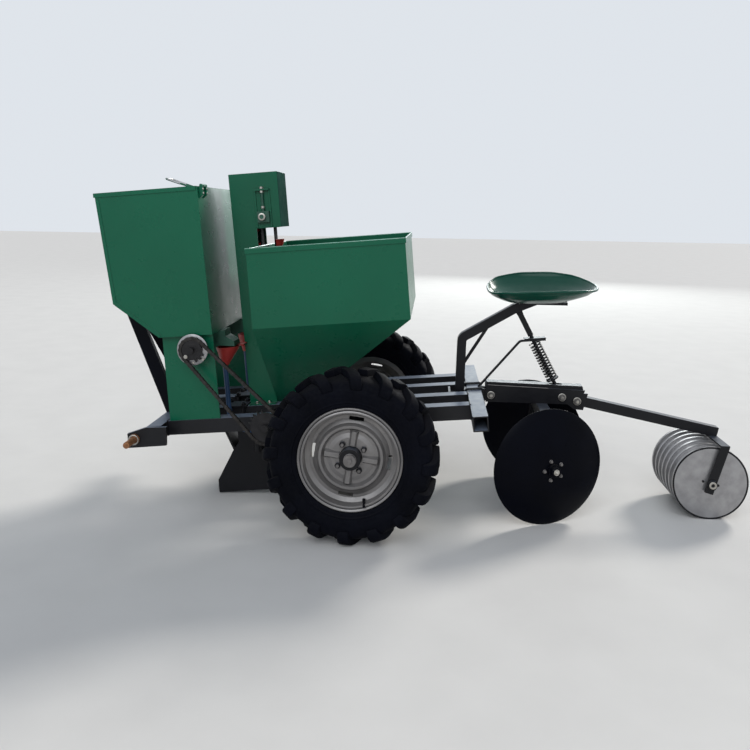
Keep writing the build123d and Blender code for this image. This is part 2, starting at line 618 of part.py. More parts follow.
# Seed hopper: upright walls over a pyramid that ends at the boot, with a hem outside its rim
BOOT_HALF = RAIL_INNER_Y - TUBE / 2
BOOT_REAR = -195.0
HOPPER_LONG = HOPPER_REAR - HOPPER_FRONT
HOPPER_MIDDLE = (HOPPER_FRONT + HOPPER_REAR) / 2
HEM = 16.0
with BuildPart() as seed_hopper:
    with BuildSketch(level(HOPPER_FOLD, HOPPER_MIDDLE)):
        Rectangle(HOPPER_LONG, 2 * HOPPER_HALF_WIDTH)
    extrude(amount=HOPPER_TOP - HOPPER_FOLD)
    with BuildSketch(level(RAIL_TOP, (HOPPER_FRONT + BOOT_REAR) / 2)):
        Rectangle(BOOT_REAR - HOPPER_FRONT, 2 * BOOT_HALF)
    with BuildSketch(level(HOPPER_FOLD, HOPPER_MIDDLE)):
        Rectangle(HOPPER_LONG, 2 * HOPPER_HALF_WIDTH)
    loft(ruled=True)
    ends = [seed_hopper.faces().filter_by(Axis(at(0, 0, 0), UPWARD)).sort_by(Axis.Z)[i] for i in (0, -1)]
    offset(amount=-SHEET, openings=ends)
    with BuildSketch(level(HOPPER_TOP - HEM, HOPPER_MIDDLE)):
        Rectangle(HOPPER_LONG + 2 * SHEET, 2 * HOPPER_HALF_WIDTH + 2 * SHEET)
        Rectangle(HOPPER_LONG, 2 * HOPPER_HALF_WIDTH, mode=Mode.SUBTRACT)
        with Locations((-HOPPER_LONG / 2 - SHEET / 2, 0)):
            Rectangle(SHEET, 2 * TOWER_HALF_WIDTH + 1, mode=Mode.SUBTRACT)
    extrude(amount=HEM)
seed_hopper.part.label = "seed_hopper"
export_step(seed_hopper.part, "parts/seed_hopper.step")

# Elevator tower, open inside, with a wider head that is open below behind the duct
DUCT_BACK = HOPPER_FRONT - SHEET
NECK_BACK = HOPPER_FRONT - 21
SLOT_FRONT = ELEVATOR_X - 22
SLOT_BACK = ELEVATOR_X + 30
SLOT_LOW = ELEVATOR_TOP_Z - 39
SLOT_HIGH = ELEVATOR_TOP_Z + 101
FOOT_FLANGE = 25.0
with BuildPart() as elevator_tower:
    plate(side(0), [(TOWER_FRONT, RAIL_TOP), (TOWER_FRONT - TOWER_LEAN, HEAD_TOP), (HEAD_BACK, HEAD_TOP),
                    (HEAD_BACK, HEAD_BOTTOM), (NECK_BACK, HEAD_BOTTOM), (NECK_BACK, HOPPER_TOP),
                    (HOPPER_FRONT, HOPPER_TOP), (HOPPER_FRONT, RAIL_TOP)], 2 * TOWER_HALF_WIDTH)
    for hand in (-1, 1):
        block(level(RAIL_TOP + 2, (TOWER_FRONT + HOPPER_FRONT) / 2, hand * (TOWER_HALF_WIDTH + FOOT_FLANGE / 2)),
              HOPPER_FRONT - TOWER_FRONT, FOOT_FLANGE, 4)
        for strip_x in (SLOT_FRONT, SLOT_BACK):
            block(level((SLOT_LOW + SLOT_HIGH) / 2, strip_x, hand * (TOWER_HALF_WIDTH + 2)), 6, 4,
                  SLOT_HIGH - SLOT_LOW)
        block(level(SLOT_HIGH - 3, (SLOT_FRONT + SLOT_BACK) / 2, hand * (TOWER_HALF_WIDTH + 6)),
              SLOT_BACK - SLOT_FRONT, 12, 6)
    plate(side(0), [(TOWER_FRONT + SHEET, RAIL_TOP - 1), (TOWER_FRONT - TOWER_LEAN + SHEET, HEAD_TOP - SHEET),
                    (HEAD_BACK - SHEET, HEAD_TOP - SHEET), (HEAD_BACK - SHEET, HEAD_BOTTOM - 1),
                    (NECK_BACK + 1, HEAD_BOTTOM - 1), (NECK_BACK + 1, HOPPER_TOP), (DUCT_BACK, HOPPER_TOP),
                    (DUCT_BACK, RAIL_TOP - 1)],
          2 * TOWER_HALF_WIDTH - 2 * SHEET, mode=Mode.SUBTRACT)
    rod(side(TOWER_HALF_WIDTH + 10, ELEVATOR_X, ELEVATOR_TOP_Z), SHAFT_RADIUS + GAP,
        2 * TOWER_HALF_WIDTH + 20, mode=Mode.SUBTRACT)
elevator_tower.part.label = "elevator_tower"
export_step(elevator_tower.part, "parts/elevator_tower.step")

# Boot between the inner rails, open above and at its front below
BOOT_BOTTOM = -30.0
BOOT_LONG = BOOT_REAR - TOWER_FRONT
with BuildPart() as seed_boot:
    block(level((RAIL_TOP + BOOT_BOTTOM) / 2, (TOWER_FRONT + BOOT_REAR) / 2), BOOT_LONG, 2 * BOOT_HALF,
          RAIL_TOP - BOOT_BOTTOM)
    block(level((RAIL_TOP + BOOT_BOTTOM) / 2 + SHEET, (TOWER_FRONT + BOOT_REAR) / 2), BOOT_LONG - 2 * SHEET,
          2 * BOOT_HALF - 2 * SHEET, RAIL_TOP - BOOT_BOTTOM, mode=Mode.SUBTRACT)
    block(level(BOOT_BOTTOM, TOWER_FRONT + 49), 90, 2 * BOOT_HALF - 2 * SHEET, 20, mode=Mode.SUBTRACT)
    rod(side(BOOT_HALF + 5, ELEVATOR_X, JACKSHAFT_Z), SHAFT_RADIUS, 2 * BOOT_HALF + 10, mode=Mode.SUBTRACT)
seed_boot.part.label = "seed_boot"
export_step(seed_boot.part, "parts/seed_boot.step")

# One pressed cup, its back flat on the belt: outward is X and its mouth faces up
CUP_WALL = 2.0
CUP_TAPER = 0.7
CUP_INSIDE = 1 - 2 * CUP_WALL / CUP_WIDTH
with BuildPart() as cup:
    for inside, wall, mode in ((1, 0, Mode.ADD), (CUP_INSIDE, CUP_WALL, Mode.SUBTRACT)):
        for scale, height in ((CUP_TAPER, -CUP_DEPTH / 2 + wall), (1, CUP_DEPTH / 2 + wall / 4)):
            half = inside * scale * CUP_WIDTH / 2
            reach = inside * scale * CUP_REACH
            with BuildSketch(Plane.XY.offset(height)):
                with BuildLine():
                    Polyline([(wall, -half), (reach / 2, -half), (reach, -half / 2), (reach, half / 2),
                              (reach / 2, half), (wall, half)], close=True)
                make_face()
        loft(ruled=True, mode=mode)

# Cup elevator: the belt goes up behind the duct through the seed, and down inside the duct
LEG = ELEVATOR_TOP_Z - JACKSHAFT_Z
LOOP = 2 * LEG + 2 * pi * BELT_RADIUS
BELT_FACE = BELT_RADIUS + BELT_THICK / 2 - 0.5


def cup_place(along):
    """Plane just under the belt's face at a length round the loop, its normal the way the belt runs."""
    if along < LEG:
        return Plane(at(ELEVATOR_X + BELT_FACE, 0, JACKSHAFT_Z + along), x_dir=REARWARD, z_dir=UPWARD)
    if along < LOOP / 2:
        turn = (along - LEG) / BELT_RADIUS
        middle = at(ELEVATOR_X, 0, ELEVATOR_TOP_Z)
    elif along < LOOP / 2 + LEG:
        return Plane(at(ELEVATOR_X - BELT_FACE, 0, ELEVATOR_TOP_Z + LOOP / 2 - along), x_dir=-REARWARD,
                     z_dir=-UPWARD)
    else:
        turn = pi + (along - LOOP / 2 - LEG) / BELT_RADIUS
        middle = at(ELEVATOR_X, 0, JACKSHAFT_Z)
    outward = REARWARD * cos(turn) + UPWARD * sin(turn)
    onward = UPWARD * cos(turn) - REARWARD * sin(turn)
    return Plane(middle + outward * BELT_FACE, x_dir=outward, z_dir=onward)


with BuildPart() as cup_chain:
    wrapped_band(0, ((ELEVATOR_X, ELEVATOR_TOP_Z), BELT_RADIUS), (JACK_END, BELT_RADIUS), BELT_WIDTH, BELT_THICK)
    with Locations(*[cup_place((step + 0.5) * LOOP / CUP_COUNT) for step in range(CUP_COUNT)]):
        add(cup.part)
cup_chain.part.label = "cup_chain"
export_step(cup_chain.part, "parts/cup_chain.step")

# Upper shaft with its bearings and take-up bolts, and both belt pulleys
PULLEY = BELT_RADIUS - BELT_THICK / 2 - 0.2
with BuildPart() as elevator_shafts:
    rod(side(TOWER_HALF_WIDTH + 20, ELEVATOR_X, ELEVATOR_TOP_Z), SHAFT_RADIUS, 2 * TOWER_HALF_WIDTH + 40)
    rod(side(BELT_WIDTH / 2, ELEVATOR_X, ELEVATOR_TOP_Z), PULLEY, BELT_WIDTH)
    rod(side(BELT_WIDTH / 2, ELEVATOR_X, JACKSHAFT_Z), PULLEY, BELT_WIDTH)
    for hand in (-1, 1):
        bearing_y = hand * (TOWER_HALF_WIDTH + 7)
        block(level(ELEVATOR_TOP_Z, (SLOT_FRONT + SLOT_BACK) / 2, bearing_y), SLOT_BACK - SLOT_FRONT - 8, 12, 40)
        rod(level(ELEVATOR_TOP_Z + 15, (SLOT_FRONT + SLOT_BACK) / 2, bearing_y), 5,
            SLOT_HIGH - 6 - ELEVATOR_TOP_Z - 15)
    rod(side(BELT_WIDTH, ELEVATOR_X, JACKSHAFT_Z), SHAFT_RADIUS, 2 * BELT_WIDTH, mode=Mode.SUBTRACT)
elevator_shafts.part.label = "elevator_shafts"
export_step(elevator_shafts.part, "parts/elevator_shafts.step")

# Furrow opener: hollow shoe under the inner rails, clamped round them
OPENER_HALF = 66.0
OPENER_WALL = 4.0
OPENER_NOSE = -583.0
OPENER_SHOULDER = OPENER_NOSE + 23
OPENER_REAR = -335.0
OPENER_TIP_Z = (-TYRE_RADIUS - OPENER_NOSE * sin(TILT)) / cos(TILT)
CLAMP_FRONT = -500.0
CLAMP_REAR = -414.0
CLAMP_PLATE = 6.0
CLAMP_BOLT = 5.0
CLAMP_REACH = TUBE / 2 + CLAMP_BOLT + 0.5
with BuildPart() as opener:
    for wall, mode in ((0, Mode.ADD), (OPENER_WALL, Mode.SUBTRACT)):
        with BuildSketch(level(RAIL_BOTTOM + wall)):
            with BuildLine():
                half = OPENER_HALF - wall
                Polyline([(OPENER_NOSE + 3 * wall, -1), (OPENER_SHOULDER + wall, -half),
                          (OPENER_REAR + wall, -half), (OPENER_REAR + wall, half),
                          (OPENER_SHOULDER + wall, half), (OPENER_NOSE + 3 * wall, 1)],
                         close=True)
            make_face()
        extrude(amount=-400, mode=mode)
    plate(side(0), [(-470, RAIL_BOTTOM), (-470, -45), (-493, -75), (OPENER_NOSE + 20, OPENER_TIP_Z + 44),
                    (OPENER_NOSE, OPENER_TIP_Z), (OPENER_REAR, OPENER_TIP_Z + 4), (OPENER_REAR, RAIL_BOTTOM)],
          200, mode=Mode.INTERSECT)
    # sloping stay in front, up to the rails
    plate(side(0), [(-525, RAIL_BOTTOM), (-519, -3), (-491, -76), (-482, -76), (-510, -3), (-516, RAIL_BOTTOM)],
          2 * OPENER_HALF)
    # clamps over the inner rails, and the spouts behind them
    for hand in (-1, 1):
        rail_y = hand * RAIL_INNER_Y
        clamp_middle = (CLAMP_FRONT + CLAMP_REAR) / 2
        for plate_z in (RAIL_BOTTOM - CLAMP_PLATE / 2, RAIL_TOP + CLAMP_PLATE / 2):
            block(level(plate_z, clamp_middle, rail_y), CLAMP_REAR - CLAMP_FRONT, 2 * CLAMP_REACH + 14, CLAMP_PLATE)
        for bolt_x in (CLAMP_FRONT + 12, CLAMP_REAR - 12):
            for bolt_y in (rail_y - CLAMP_REACH, rail_y + CLAMP_REACH):
                rod(level(RAIL_BOTTOM - 14, bolt_x, bolt_y), CLAMP_BOLT, TUBE + 32)
                nut(level(RAIL_TOP + CLAMP_PLATE, bolt_x, bolt_y), 9, 8)
        rod(level(SPOUT_TOP - 50, SPOUT_X, hand * SPOUT_Y), HOSE_RADIUS + 5.5, 50)
        rod(level(SPOUT_TOP - 51, SPOUT_X, hand * SPOUT_Y), HOSE_RADIUS, 52, mode=Mode.SUBTRACT)
opener.part.label = "opener"
export_step(opener.part, "parts/opener.step")


def seat_plane(height=0.0):
    """Plane over the seat's plate, which leans a little to the near side."""
    lean = radians(SEAT_LEAN)
    up = Vector(0, -sin(lean), cos(lean))
    return Plane(over_axle(SEAT_X, 0, TYRE_RADIUS + SEAT_HEIGHT) + up * height, x_dir=(1, 0, 0), z_dir=up)


# Seat post: square tube in front of the rear beam, cranked back under the seat, with a small brace
SEAT_PLATE = 10.0
POST_FOOT = (363, RAIL_BOTTOM - 5)
POST_KNEE = (390, 291)
POST_ELBOW = (592, SEAT_HEIGHT - 83)
POST_PATH = [POST_FOOT, POST_KNEE, POST_ELBOW, (664, SEAT_HEIGHT - 60)]
POST_SLOPE = (POST_ELBOW[1] - POST_KNEE[1]) / (POST_ELBOW[0] - POST_KNEE[0])
BRACE_DROP = 103.0
BRACE_REACH = 98.0
with BuildPart() as seat_post:
    with BuildLine(side(0)) as post_line:
        FilletPolyline(POST_PATH, radius=24)
    bent_bar(post_line.line, POST_SIZE, round_bar=False)
    brace_foot = at(POST_KNEE[0] - 4, 0, POST_KNEE[1] - BRACE_DROP)
    brace_head = at(POST_KNEE[0] + BRACE_REACH, 0, POST_KNEE[1] + BRACE_REACH * POST_SLOPE - 13)
    rod(facing(brace_foot, brace_head - brace_foot, ACROSS), 6, (brace_head - brace_foot).length)
    block(seat_plane(200 - SEAT_PLATE), 800, 400, 400, mode=Mode.SUBTRACT)
seat_post.part.label = "seat_post"
export_step(seat_post.part, "parts/seat_post.step")

# Clamp between the post and the rear beam
with BuildPart() as post_clamp:
    lean = (POST_KNEE[0] - POST_FOOT[0]) / (POST_KNEE[1] - POST_FOOT[1])
    clamp_low = RAIL_BOTTOM + 2
    clamp_high = RAIL_TOP - 2
    post_back = [POST_FOOT[0] + POST_SIZE / 2 * hypot(1, lean) + lean * (z - POST_FOOT[1]) + 0.1
                 for z in (clamp_low, clamp_high)]
    plate(side(0), [(post_back[0], clamp_low), (RAIL_REAR, clamp_low), (RAIL_REAR, clamp_high),
                    (post_back[1], clamp_high)], 60)
    strap_x = POST_FOOT[0] - POST_SIZE / 2 - 16
    block(level(RAIL_MIDDLE, strap_x), 8, 2 * POST_SIZE + 24, 46)
    for hand in (-1, 1):
        rod(across(strap_x, hand * (POST_SIZE / 2 + 16), RAIL_MIDDLE), 6, RAIL_REAR - strap_x)
post_clamp.part.label = "post_clamp"
export_step(post_clamp.part, "parts/post_clamp.step")

# Seat: plate and pressed pan, its rim cut higher along the sides than at the front and back
with BuildPart() as seat_plate:
    block(seat_plane(-SEAT_PLATE / 2), 172, 90, SEAT_PLATE)
seat_plate.part.label = "seat_plate"
export_step(seat_plate.part, "parts/seat_plate.step")

# columns: height, reach to the front, reach to the rear, half width
PAN_RINGS = [(0, 95, 60, 70), (6, 150, 105, 115), (26, 192, 172, 160), (50, 207, 206, 183), (92, 216, 222, 200)]
PAN_POINTS = 32


def pan_ring(front, rear, half):
    """Closed outline of the pan: squarish to the front, rounder to the rear."""
    points = []
    for step in range(PAN_POINTS):
        turn = 2 * pi * (step + 0.5) / PAN_POINTS
        power = 2 / 2.2 if cos(turn) > 0 else 2 / 2.8
        reach = rear if cos(turn) > 0 else -front
        aside = half if sin(turn) > 0 else -half
        points.append((reach * abs(cos(turn)) ** power, aside * abs(sin(turn)) ** power))
    return points


RIM_LINE = [(-216, 38), (-190, 46), (-155, 58), (-60, 67), (60, 67), (130, 61), (180, 51), (222, 44)]
with BuildPart() as seat_pan:
    for trim, mode in ((0, Mode.ADD), (SHEET, Mode.SUBTRACT)):
        for height, front, rear, half in PAN_RINGS:
            with BuildSketch(seat_plane(height + trim)):
                with BuildLine():
                    Polyline(pan_ring(front - trim, rear - trim, half - trim), close=True)
                make_face()
        loft(ruled=True, mode=mode)
    rim_plane = Plane(seat_plane().origin, x_dir=(1, 0, 0), z_dir=-seat_plane().y_dir)
    with BuildSketch(rim_plane) as over_rim:
        with BuildLine():
            rim_line = Spline(*RIM_LINE)
            Polyline([rim_line @ 1, (260, 44), (260, 140), (-260, 140), (-260, 38), rim_line @ 0])
        make_face()
    extrude(over_rim.sketch, amount=260, both=True, mode=Mode.SUBTRACT)
seat_pan.part.label = "seat_pan"
export_step(seat_pan.part, "parts/seat_pan.step")

# Trailing channel that carries the discs, pinned behind the rear beam
PIN = 8.0
GANG_PIN = at(RAIL_REAR + TUBE + 36, 0, RAIL_MIDDLE - 1)
EYE_PIN = GANG_PIN + Vector(259, 0, 0)
ARM_PIN = GANG_PIN + Vector(314, 0, -13)
GANG_HALF = 30.0
GANG_WALL = 6.0
GANG_LOW = -26.0
GANG_OUTLINE = [(-19, GANG_LOW), (-19, 37), (337, 27), (337, 16), (353, 15), (337, -46), (304, -44),
                (280, GANG_LOW)]


def gang(y):
    """Plane facing the near side at the channel's front pin, its axes level to the rear and up."""
    return Plane(GANG_PIN + ACROSS * y, x_dir=(1, 0, 0), z_dir=(0, -1, 0))


def pin_holes(radius):
    """Cuts the three cross pins' holes."""
    for pin_at in (GANG_PIN, EYE_PIN, ARM_PIN):
        rod(facing(pin_at - ACROSS * 50, ACROSS), radius, 100, mode=Mode.SUBTRACT)


with BuildPart() as gang_frame:
    plate(gang(0), GANG_OUTLINE, 2 * GANG_HALF)
    plate(gang(0), [(-20, -50), (-20, 37 - GANG_WALL), (354, 27 - GANG_WALL), (354, -50)],
          2 * GANG_HALF - 2 * GANG_WALL, mode=Mode.SUBTRACT)
    plate(gang(0), [(-19, 37), (-16, 48), (334, 41), (337, 27)], 2 * GANG_HALF - 16)
    pin_holes(PIN)
    with BuildSketch(facing(EYE_PIN + Vector(-20, 0, 0), (0, 0, 1))) as passage:
        SlotCenterToCenter(24, 26)
    extrude(passage.sketch, amount=60, mode=Mode.SUBTRACT)
gang_frame.part.label = "gang_frame"
export_step(gang_frame.part, "parts/gang_frame.step")

# Ears behind the rear beam that carry the channel's front pin
BEAM_BACK = RAIL_REAR + TUBE
with BuildPart() as gang_bracket:
    for hand in (-1, 1):
        plate(side(hand * 19), [(BEAM_BACK, RAIL_BOTTOM), (BEAM_BACK + 50, RAIL_BOTTOM + 8),
                                (BEAM_BACK + 50, RAIL_TOP - 8), (BEAM_BACK, RAIL_TOP)], 8)
    pin_holes(PIN)
gang_bracket.part.label = "gang_bracket"
export_step(gang_bracket.part, "parts/gang_bracket.step")

# Discs: cross tube, shanks and toed stubs, then blades that turn on the stubs
SHANK_Y = DISC_Y - 67
STUB = 12.5
CROSS_TOP = GANG_PIN.Z + GANG_LOW
CROSS_TUBE = 40.0
with BuildPart() as disc_carrier:
    with Locations(over_axle(DISC_X, 0, CROSS_TOP - CROSS_TUBE / 2)):
        Box(CROSS_TUBE, 2 * SHANK_Y + 40, CROSS_TUBE)
    for hand in (-1, 1):
        shank_low = DISC_RADIUS - 30
        with Locations(over_axle(DISC_X, hand * SHANK_Y, (CROSS_TOP - CROSS_TUBE + shank_low) / 2)):
            Box(CROSS_TUBE, 30, CROSS_TOP - CROSS_TUBE - shank_low)
        out = Vector(sin(radians(DISC_TOE)), hand * cos(radians(DISC_TOE)), 0)
        rod(facing(over_axle(DISC_X, hand * DISC_Y, DISC_RADIUS) - out * 66, out, (0, 0, 1)), STUB, 62)
disc_carrier.part.label = "disc_carrier"
export_step(disc_carrier.part, "parts/disc_carrier.step")

# columns: bulge from the hub's plane, radius
BLADE_FACE = [(36, 0), (36, 40), (30, 90), (16, 150), (-1, DISC_RADIUS), (-4, DISC_RADIUS), (12, 150), (26, 90),
              (32, 40), (0, 40), (0, 0)]
HUB_BOLTS = 5
for disc_name, hand in (("near", -1), ("far", 1)):
    out = Vector(sin(radians(DISC_TOE)), hand * cos(radians(DISC_TOE)), 0)
    hub_at = over_axle(DISC_X, hand * DISC_Y, DISC_RADIUS)
    disc_plane = Plane(hub_at, x_dir=out, z_dir=out.cross(Vector(0, 0, 1)))
    disc_up = disc_plane.y_dir.Z
    with BuildPart() as blade:
        with BuildSketch(disc_plane):
            with BuildLine():
                Polyline([(bulge, radius * disc_up) for bulge, radius in BLADE_FACE], close=True)
            make_face()
        revolve(axis=Axis(hub_at, out))
        rod(facing(hub_at - out * 34, out, (0, 0, 1)), 34, 34)
        rod(facing(hub_at - out * 40, out, (0, 0, 1)), STUB + RUNNING_FIT, 38, mode=Mode.SUBTRACT)
        face = facing(hub_at + out * 36, out, (0, 0, 1))
        rod(face, 22, 22)
        for bolt in range(HUB_BOLTS):
            turn = 2 * pi * bolt / HUB_BOLTS
            bolt_at = face.from_local_coords(Vector(31 * cos(turn), 31 * sin(turn), -2))
            nut(facing(bolt_at, out, (0, 0, 1)), 8, 9)
    blade.part.label = "disc_" + disc_name
    export_step(blade.part, "parts/disc_" + disc_name + ".step")

# Spring rod: flat strut from the seat's arm, then a round rod through the guide down to the eye
STRUT_TOP = at(605, 0, SEAT_HEIGHT - 97)
FALL = (EYE_PIN - STRUT_TOP).normalized()
ROD_LENGTH = (EYE_PIN - STRUT_TOP).length
SPRING_ROD = 7.0
SPRING_START = 128.0
SPRING_END = ROD_LENGTH - 72
SPRING_WIRE = 6.0
SPRING_RADIUS = 19.5
COILS = 13


def down_rod(length):
    """Plane at a length down the rod, looking down it."""
    return Plane(STRUT_TOP + FALL * length, x_dir=ACROSS, z_dir=FALL)


with BuildPart() as spring_rod:
    with BuildSketch(down_rod(12)) as strut:
        Rectangle(8, 20)
    extrude(strut.sketch, amount=88)
    rod(down_rod(96), SPRING_ROD, ROD_LENGTH - 96)
    rod(down_rod(SPRING_END), SPRING_RADIUS + 4, 5)
    rod(facing(EYE_PIN - ACROSS * 12, ACROSS), 15, 24)
    rod(facing(EYE_PIN - ACROSS * 12, ACROSS), PIN, 24, mode=Mode.SUBTRACT)
spring_rod.part.label = "spring_rod"
export_step(spring_rod.part, "parts/spring_rod.step")

# Coil spring round the rod
with BuildPart() as spring:
    pitch = (SPRING_END - SPRING_START - SPRING_WIRE) / COILS
    coil = Helix(pitch, pitch * COILS, SPRING_RADIUS, center=STRUT_TOP + FALL * (SPRING_START + SPRING_WIRE / 2),
                 direction=FALL)
    with BuildSketch(Plane(coil @ 0, z_dir=coil % 0)) as wire:
        RegularPolygon(SPRING_WIRE / 2, 6)
    sweep(wire.sketch, path=coil, is_frenet=True)
spring.part.label = "spring"
export_step(spring.part, "parts/spring.step")

# Guide plate round the rod, on a bent tie from the rear beam
GUIDE_Z = SEAT_HEIGHT - 201
TIE_Y = -14.0
with BuildPart() as rod_guide:
    block(level(GUIDE_Z + 2, 657, 0), 78, 38, 4)
    with BuildLine(side(TIE_Y)) as tie_line:
        FilletPolyline([(RAIL_REAR + 42, RAIL_TOP + 3.3), (602, GUIDE_Z - 3.5), (695, GUIDE_Z - 3.5)],
                       radius=20)
    bent_bar(tie_line.line, 9)
    rod(down_rod(60), SPRING_ROD + GAP, 90, mode=Mode.SUBTRACT)
rod_guide.part.label = "rod_guide"
export_step(rod_guide.part, "parts/rod_guide.step")

# Press roller on its trailing arm: arm, flat crossbar and two straps
BAR_WIDE = 30.0
BAR_THICK = 6.0
BAR_X = ROLLER_X + 40
BAR_Z = ROLLER_RADIUS + 137
YOKE_Y = ROLLER_WIDTH / 2 + 12
ROLLER_STUB = 12.0
with BuildPart() as roller_arm:
    arm_end = over_axle(BAR_X + 16, 0, BAR_Z + ARM_SIZE / 2 - 2)
    run = (arm_end - ARM_PIN).normalized()
    with BuildSketch(Plane(ARM_PIN - run * 14, x_dir=ACROSS, z_dir=run)) as arm:
        Rectangle(ARM_SIZE, ARM_SIZE)
    extrude(arm.sketch, amount=(arm_end - ARM_PIN).length + 14)
    with Locations(over_axle(BAR_X, 0, BAR_Z)):
        Box(BAR_WIDE, 2 * YOKE_Y + BAR_THICK, BAR_THICK)
    for hand in (-1, 1):
        strap_top = over_axle(BAR_X, hand * YOKE_Y, BAR_Z)
        strap_mid = over_axle(ROLLER_X, hand * YOKE_Y, ROLLER_RADIUS)
        drop = (strap_mid - strap_top).normalized()
        with BuildSketch(Plane(strap_top, x_dir=ACROSS, z_dir=drop)) as strap:
            Rectangle(BAR_THICK, BAR_WIDE)
        extrude(strap.sketch, amount=(strap_mid - strap_top).length + 34)
        rod(facing(strap_mid + ACROSS * hand * 10, (0, -hand, 0)), ROLLER_STUB, 60)
        nut(facing(strap_mid + ACROSS * hand * 2, (0, hand, 0)), 18, 10)
    rod(facing(ARM_PIN - ACROSS * 50, ACROSS), PIN + RUNNING_FIT, 100, mode=Mode.SUBTRACT)
roller_arm.part.label = "roller_arm"
export_step(roller_arm.part, "parts/roller_arm.step")

with BuildPart() as gang_pins:
    for pin_at in (GANG_PIN, EYE_PIN, ARM_PIN):
        near_end = facing(pin_at - ACROSS * GANG_HALF, ACROSS)
        rod(near_end, PIN, 2 * GANG_HALF)
        rod(near_end.offset(-3), 14, 3)
        rod(near_end.offset(2 * GANG_HALF), 14, 3)
        nut(near_end.offset(-12), 12, 9)
        nut(near_end.offset(2 * GANG_HALF + 3), 12, 9)
gang_pins.part.label = "gang_pins"
export_step(gang_pins.part, "parts/gang_pins.step")

# Roller: drum with seven ribs, its ends bored for the stubs
RIBS = 7
RIB_WIDE = 10.0
DRUM_RADIUS = ROLLER_RADIUS - 8
with BuildPart() as roller:
    roller_near = over_axle(ROLLER_X, -ROLLER_WIDTH / 2, ROLLER_RADIUS)
    rod(facing(roller_near, ACROSS), DRUM_RADIUS, ROLLER_WIDTH)
    for rib_index in range(RIBS):
        rib_y = rib_index * (ROLLER_WIDTH - RIB_WIDE) / (RIBS - 1)
        rod(facing(roller_near + ACROSS * rib_y, ACROSS), ROLLER_RADIUS, RIB_WIDE)
    for hand in (-1, 1):
        end_at = over_axle(ROLLER_X, hand * ROLLER_WIDTH / 2, ROLLER_RADIUS)
        rod(facing(end_at, (0, -hand, 0)), ROLLER_STUB + RUNNING_FIT, 40, mode=Mode.SUBTRACT)
roller.part.label = "roller"
export_step(roller.part, "parts/roller.step")
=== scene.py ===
import json
from math import acos, atan2, cos, hypot, pi, radians, sin

import bpy
from mathutils import Matrix, Vector, noise


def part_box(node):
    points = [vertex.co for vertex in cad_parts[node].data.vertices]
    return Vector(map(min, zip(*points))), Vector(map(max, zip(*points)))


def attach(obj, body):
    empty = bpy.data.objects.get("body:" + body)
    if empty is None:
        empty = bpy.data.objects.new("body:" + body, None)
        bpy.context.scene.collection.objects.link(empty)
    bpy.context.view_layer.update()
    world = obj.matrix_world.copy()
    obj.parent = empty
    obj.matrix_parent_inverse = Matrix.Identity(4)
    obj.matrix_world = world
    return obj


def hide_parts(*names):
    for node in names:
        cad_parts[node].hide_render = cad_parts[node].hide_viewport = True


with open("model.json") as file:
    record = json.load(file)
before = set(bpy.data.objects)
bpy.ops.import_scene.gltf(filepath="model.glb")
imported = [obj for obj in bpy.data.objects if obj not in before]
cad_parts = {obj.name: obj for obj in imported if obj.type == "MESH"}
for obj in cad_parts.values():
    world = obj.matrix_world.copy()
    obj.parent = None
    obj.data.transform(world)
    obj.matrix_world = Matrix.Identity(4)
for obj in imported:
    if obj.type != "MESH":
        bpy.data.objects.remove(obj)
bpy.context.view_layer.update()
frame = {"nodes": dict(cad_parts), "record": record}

# Stance and sizes of the planter: metres in the world, millimetres in the machine's own level frame
TYRE_RADIUS = (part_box("tyre_near")[1][2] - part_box("tyre_near")[0][2]) / 2
AXLE_X = (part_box("tyre_near")[1][0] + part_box("tyre_near")[0][0]) / 2
WHEEL_Y = (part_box("tyre_far")[1][1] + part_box("tyre_far")[0][1]) / 2
NOSE_DOWN = radians(5.0)
MM = 0.001
REARWARD = Vector((cos(NOSE_DOWN), 0, sin(NOSE_DOWN)))
UPWARD = Vector((-sin(NOSE_DOWN), 0, cos(NOSE_DOWN)))
ACROSS = Vector((0, 1, 0))
UP = Vector((0, 0, 1))


def machine(x, y, z):
    """World place of a point of the machine's level frame, given in millimetres from the axle."""
    return Vector((AXLE_X, 0, TYRE_RADIUS)) + (REARWARD * x + ACROSS * y + UPWARD * z) * MM


def ground(x, y, z):
    """World place of a point given in millimetres from the ground under the axle."""
    return Vector((AXLE_X + x * MM, y * MM, z * MM))


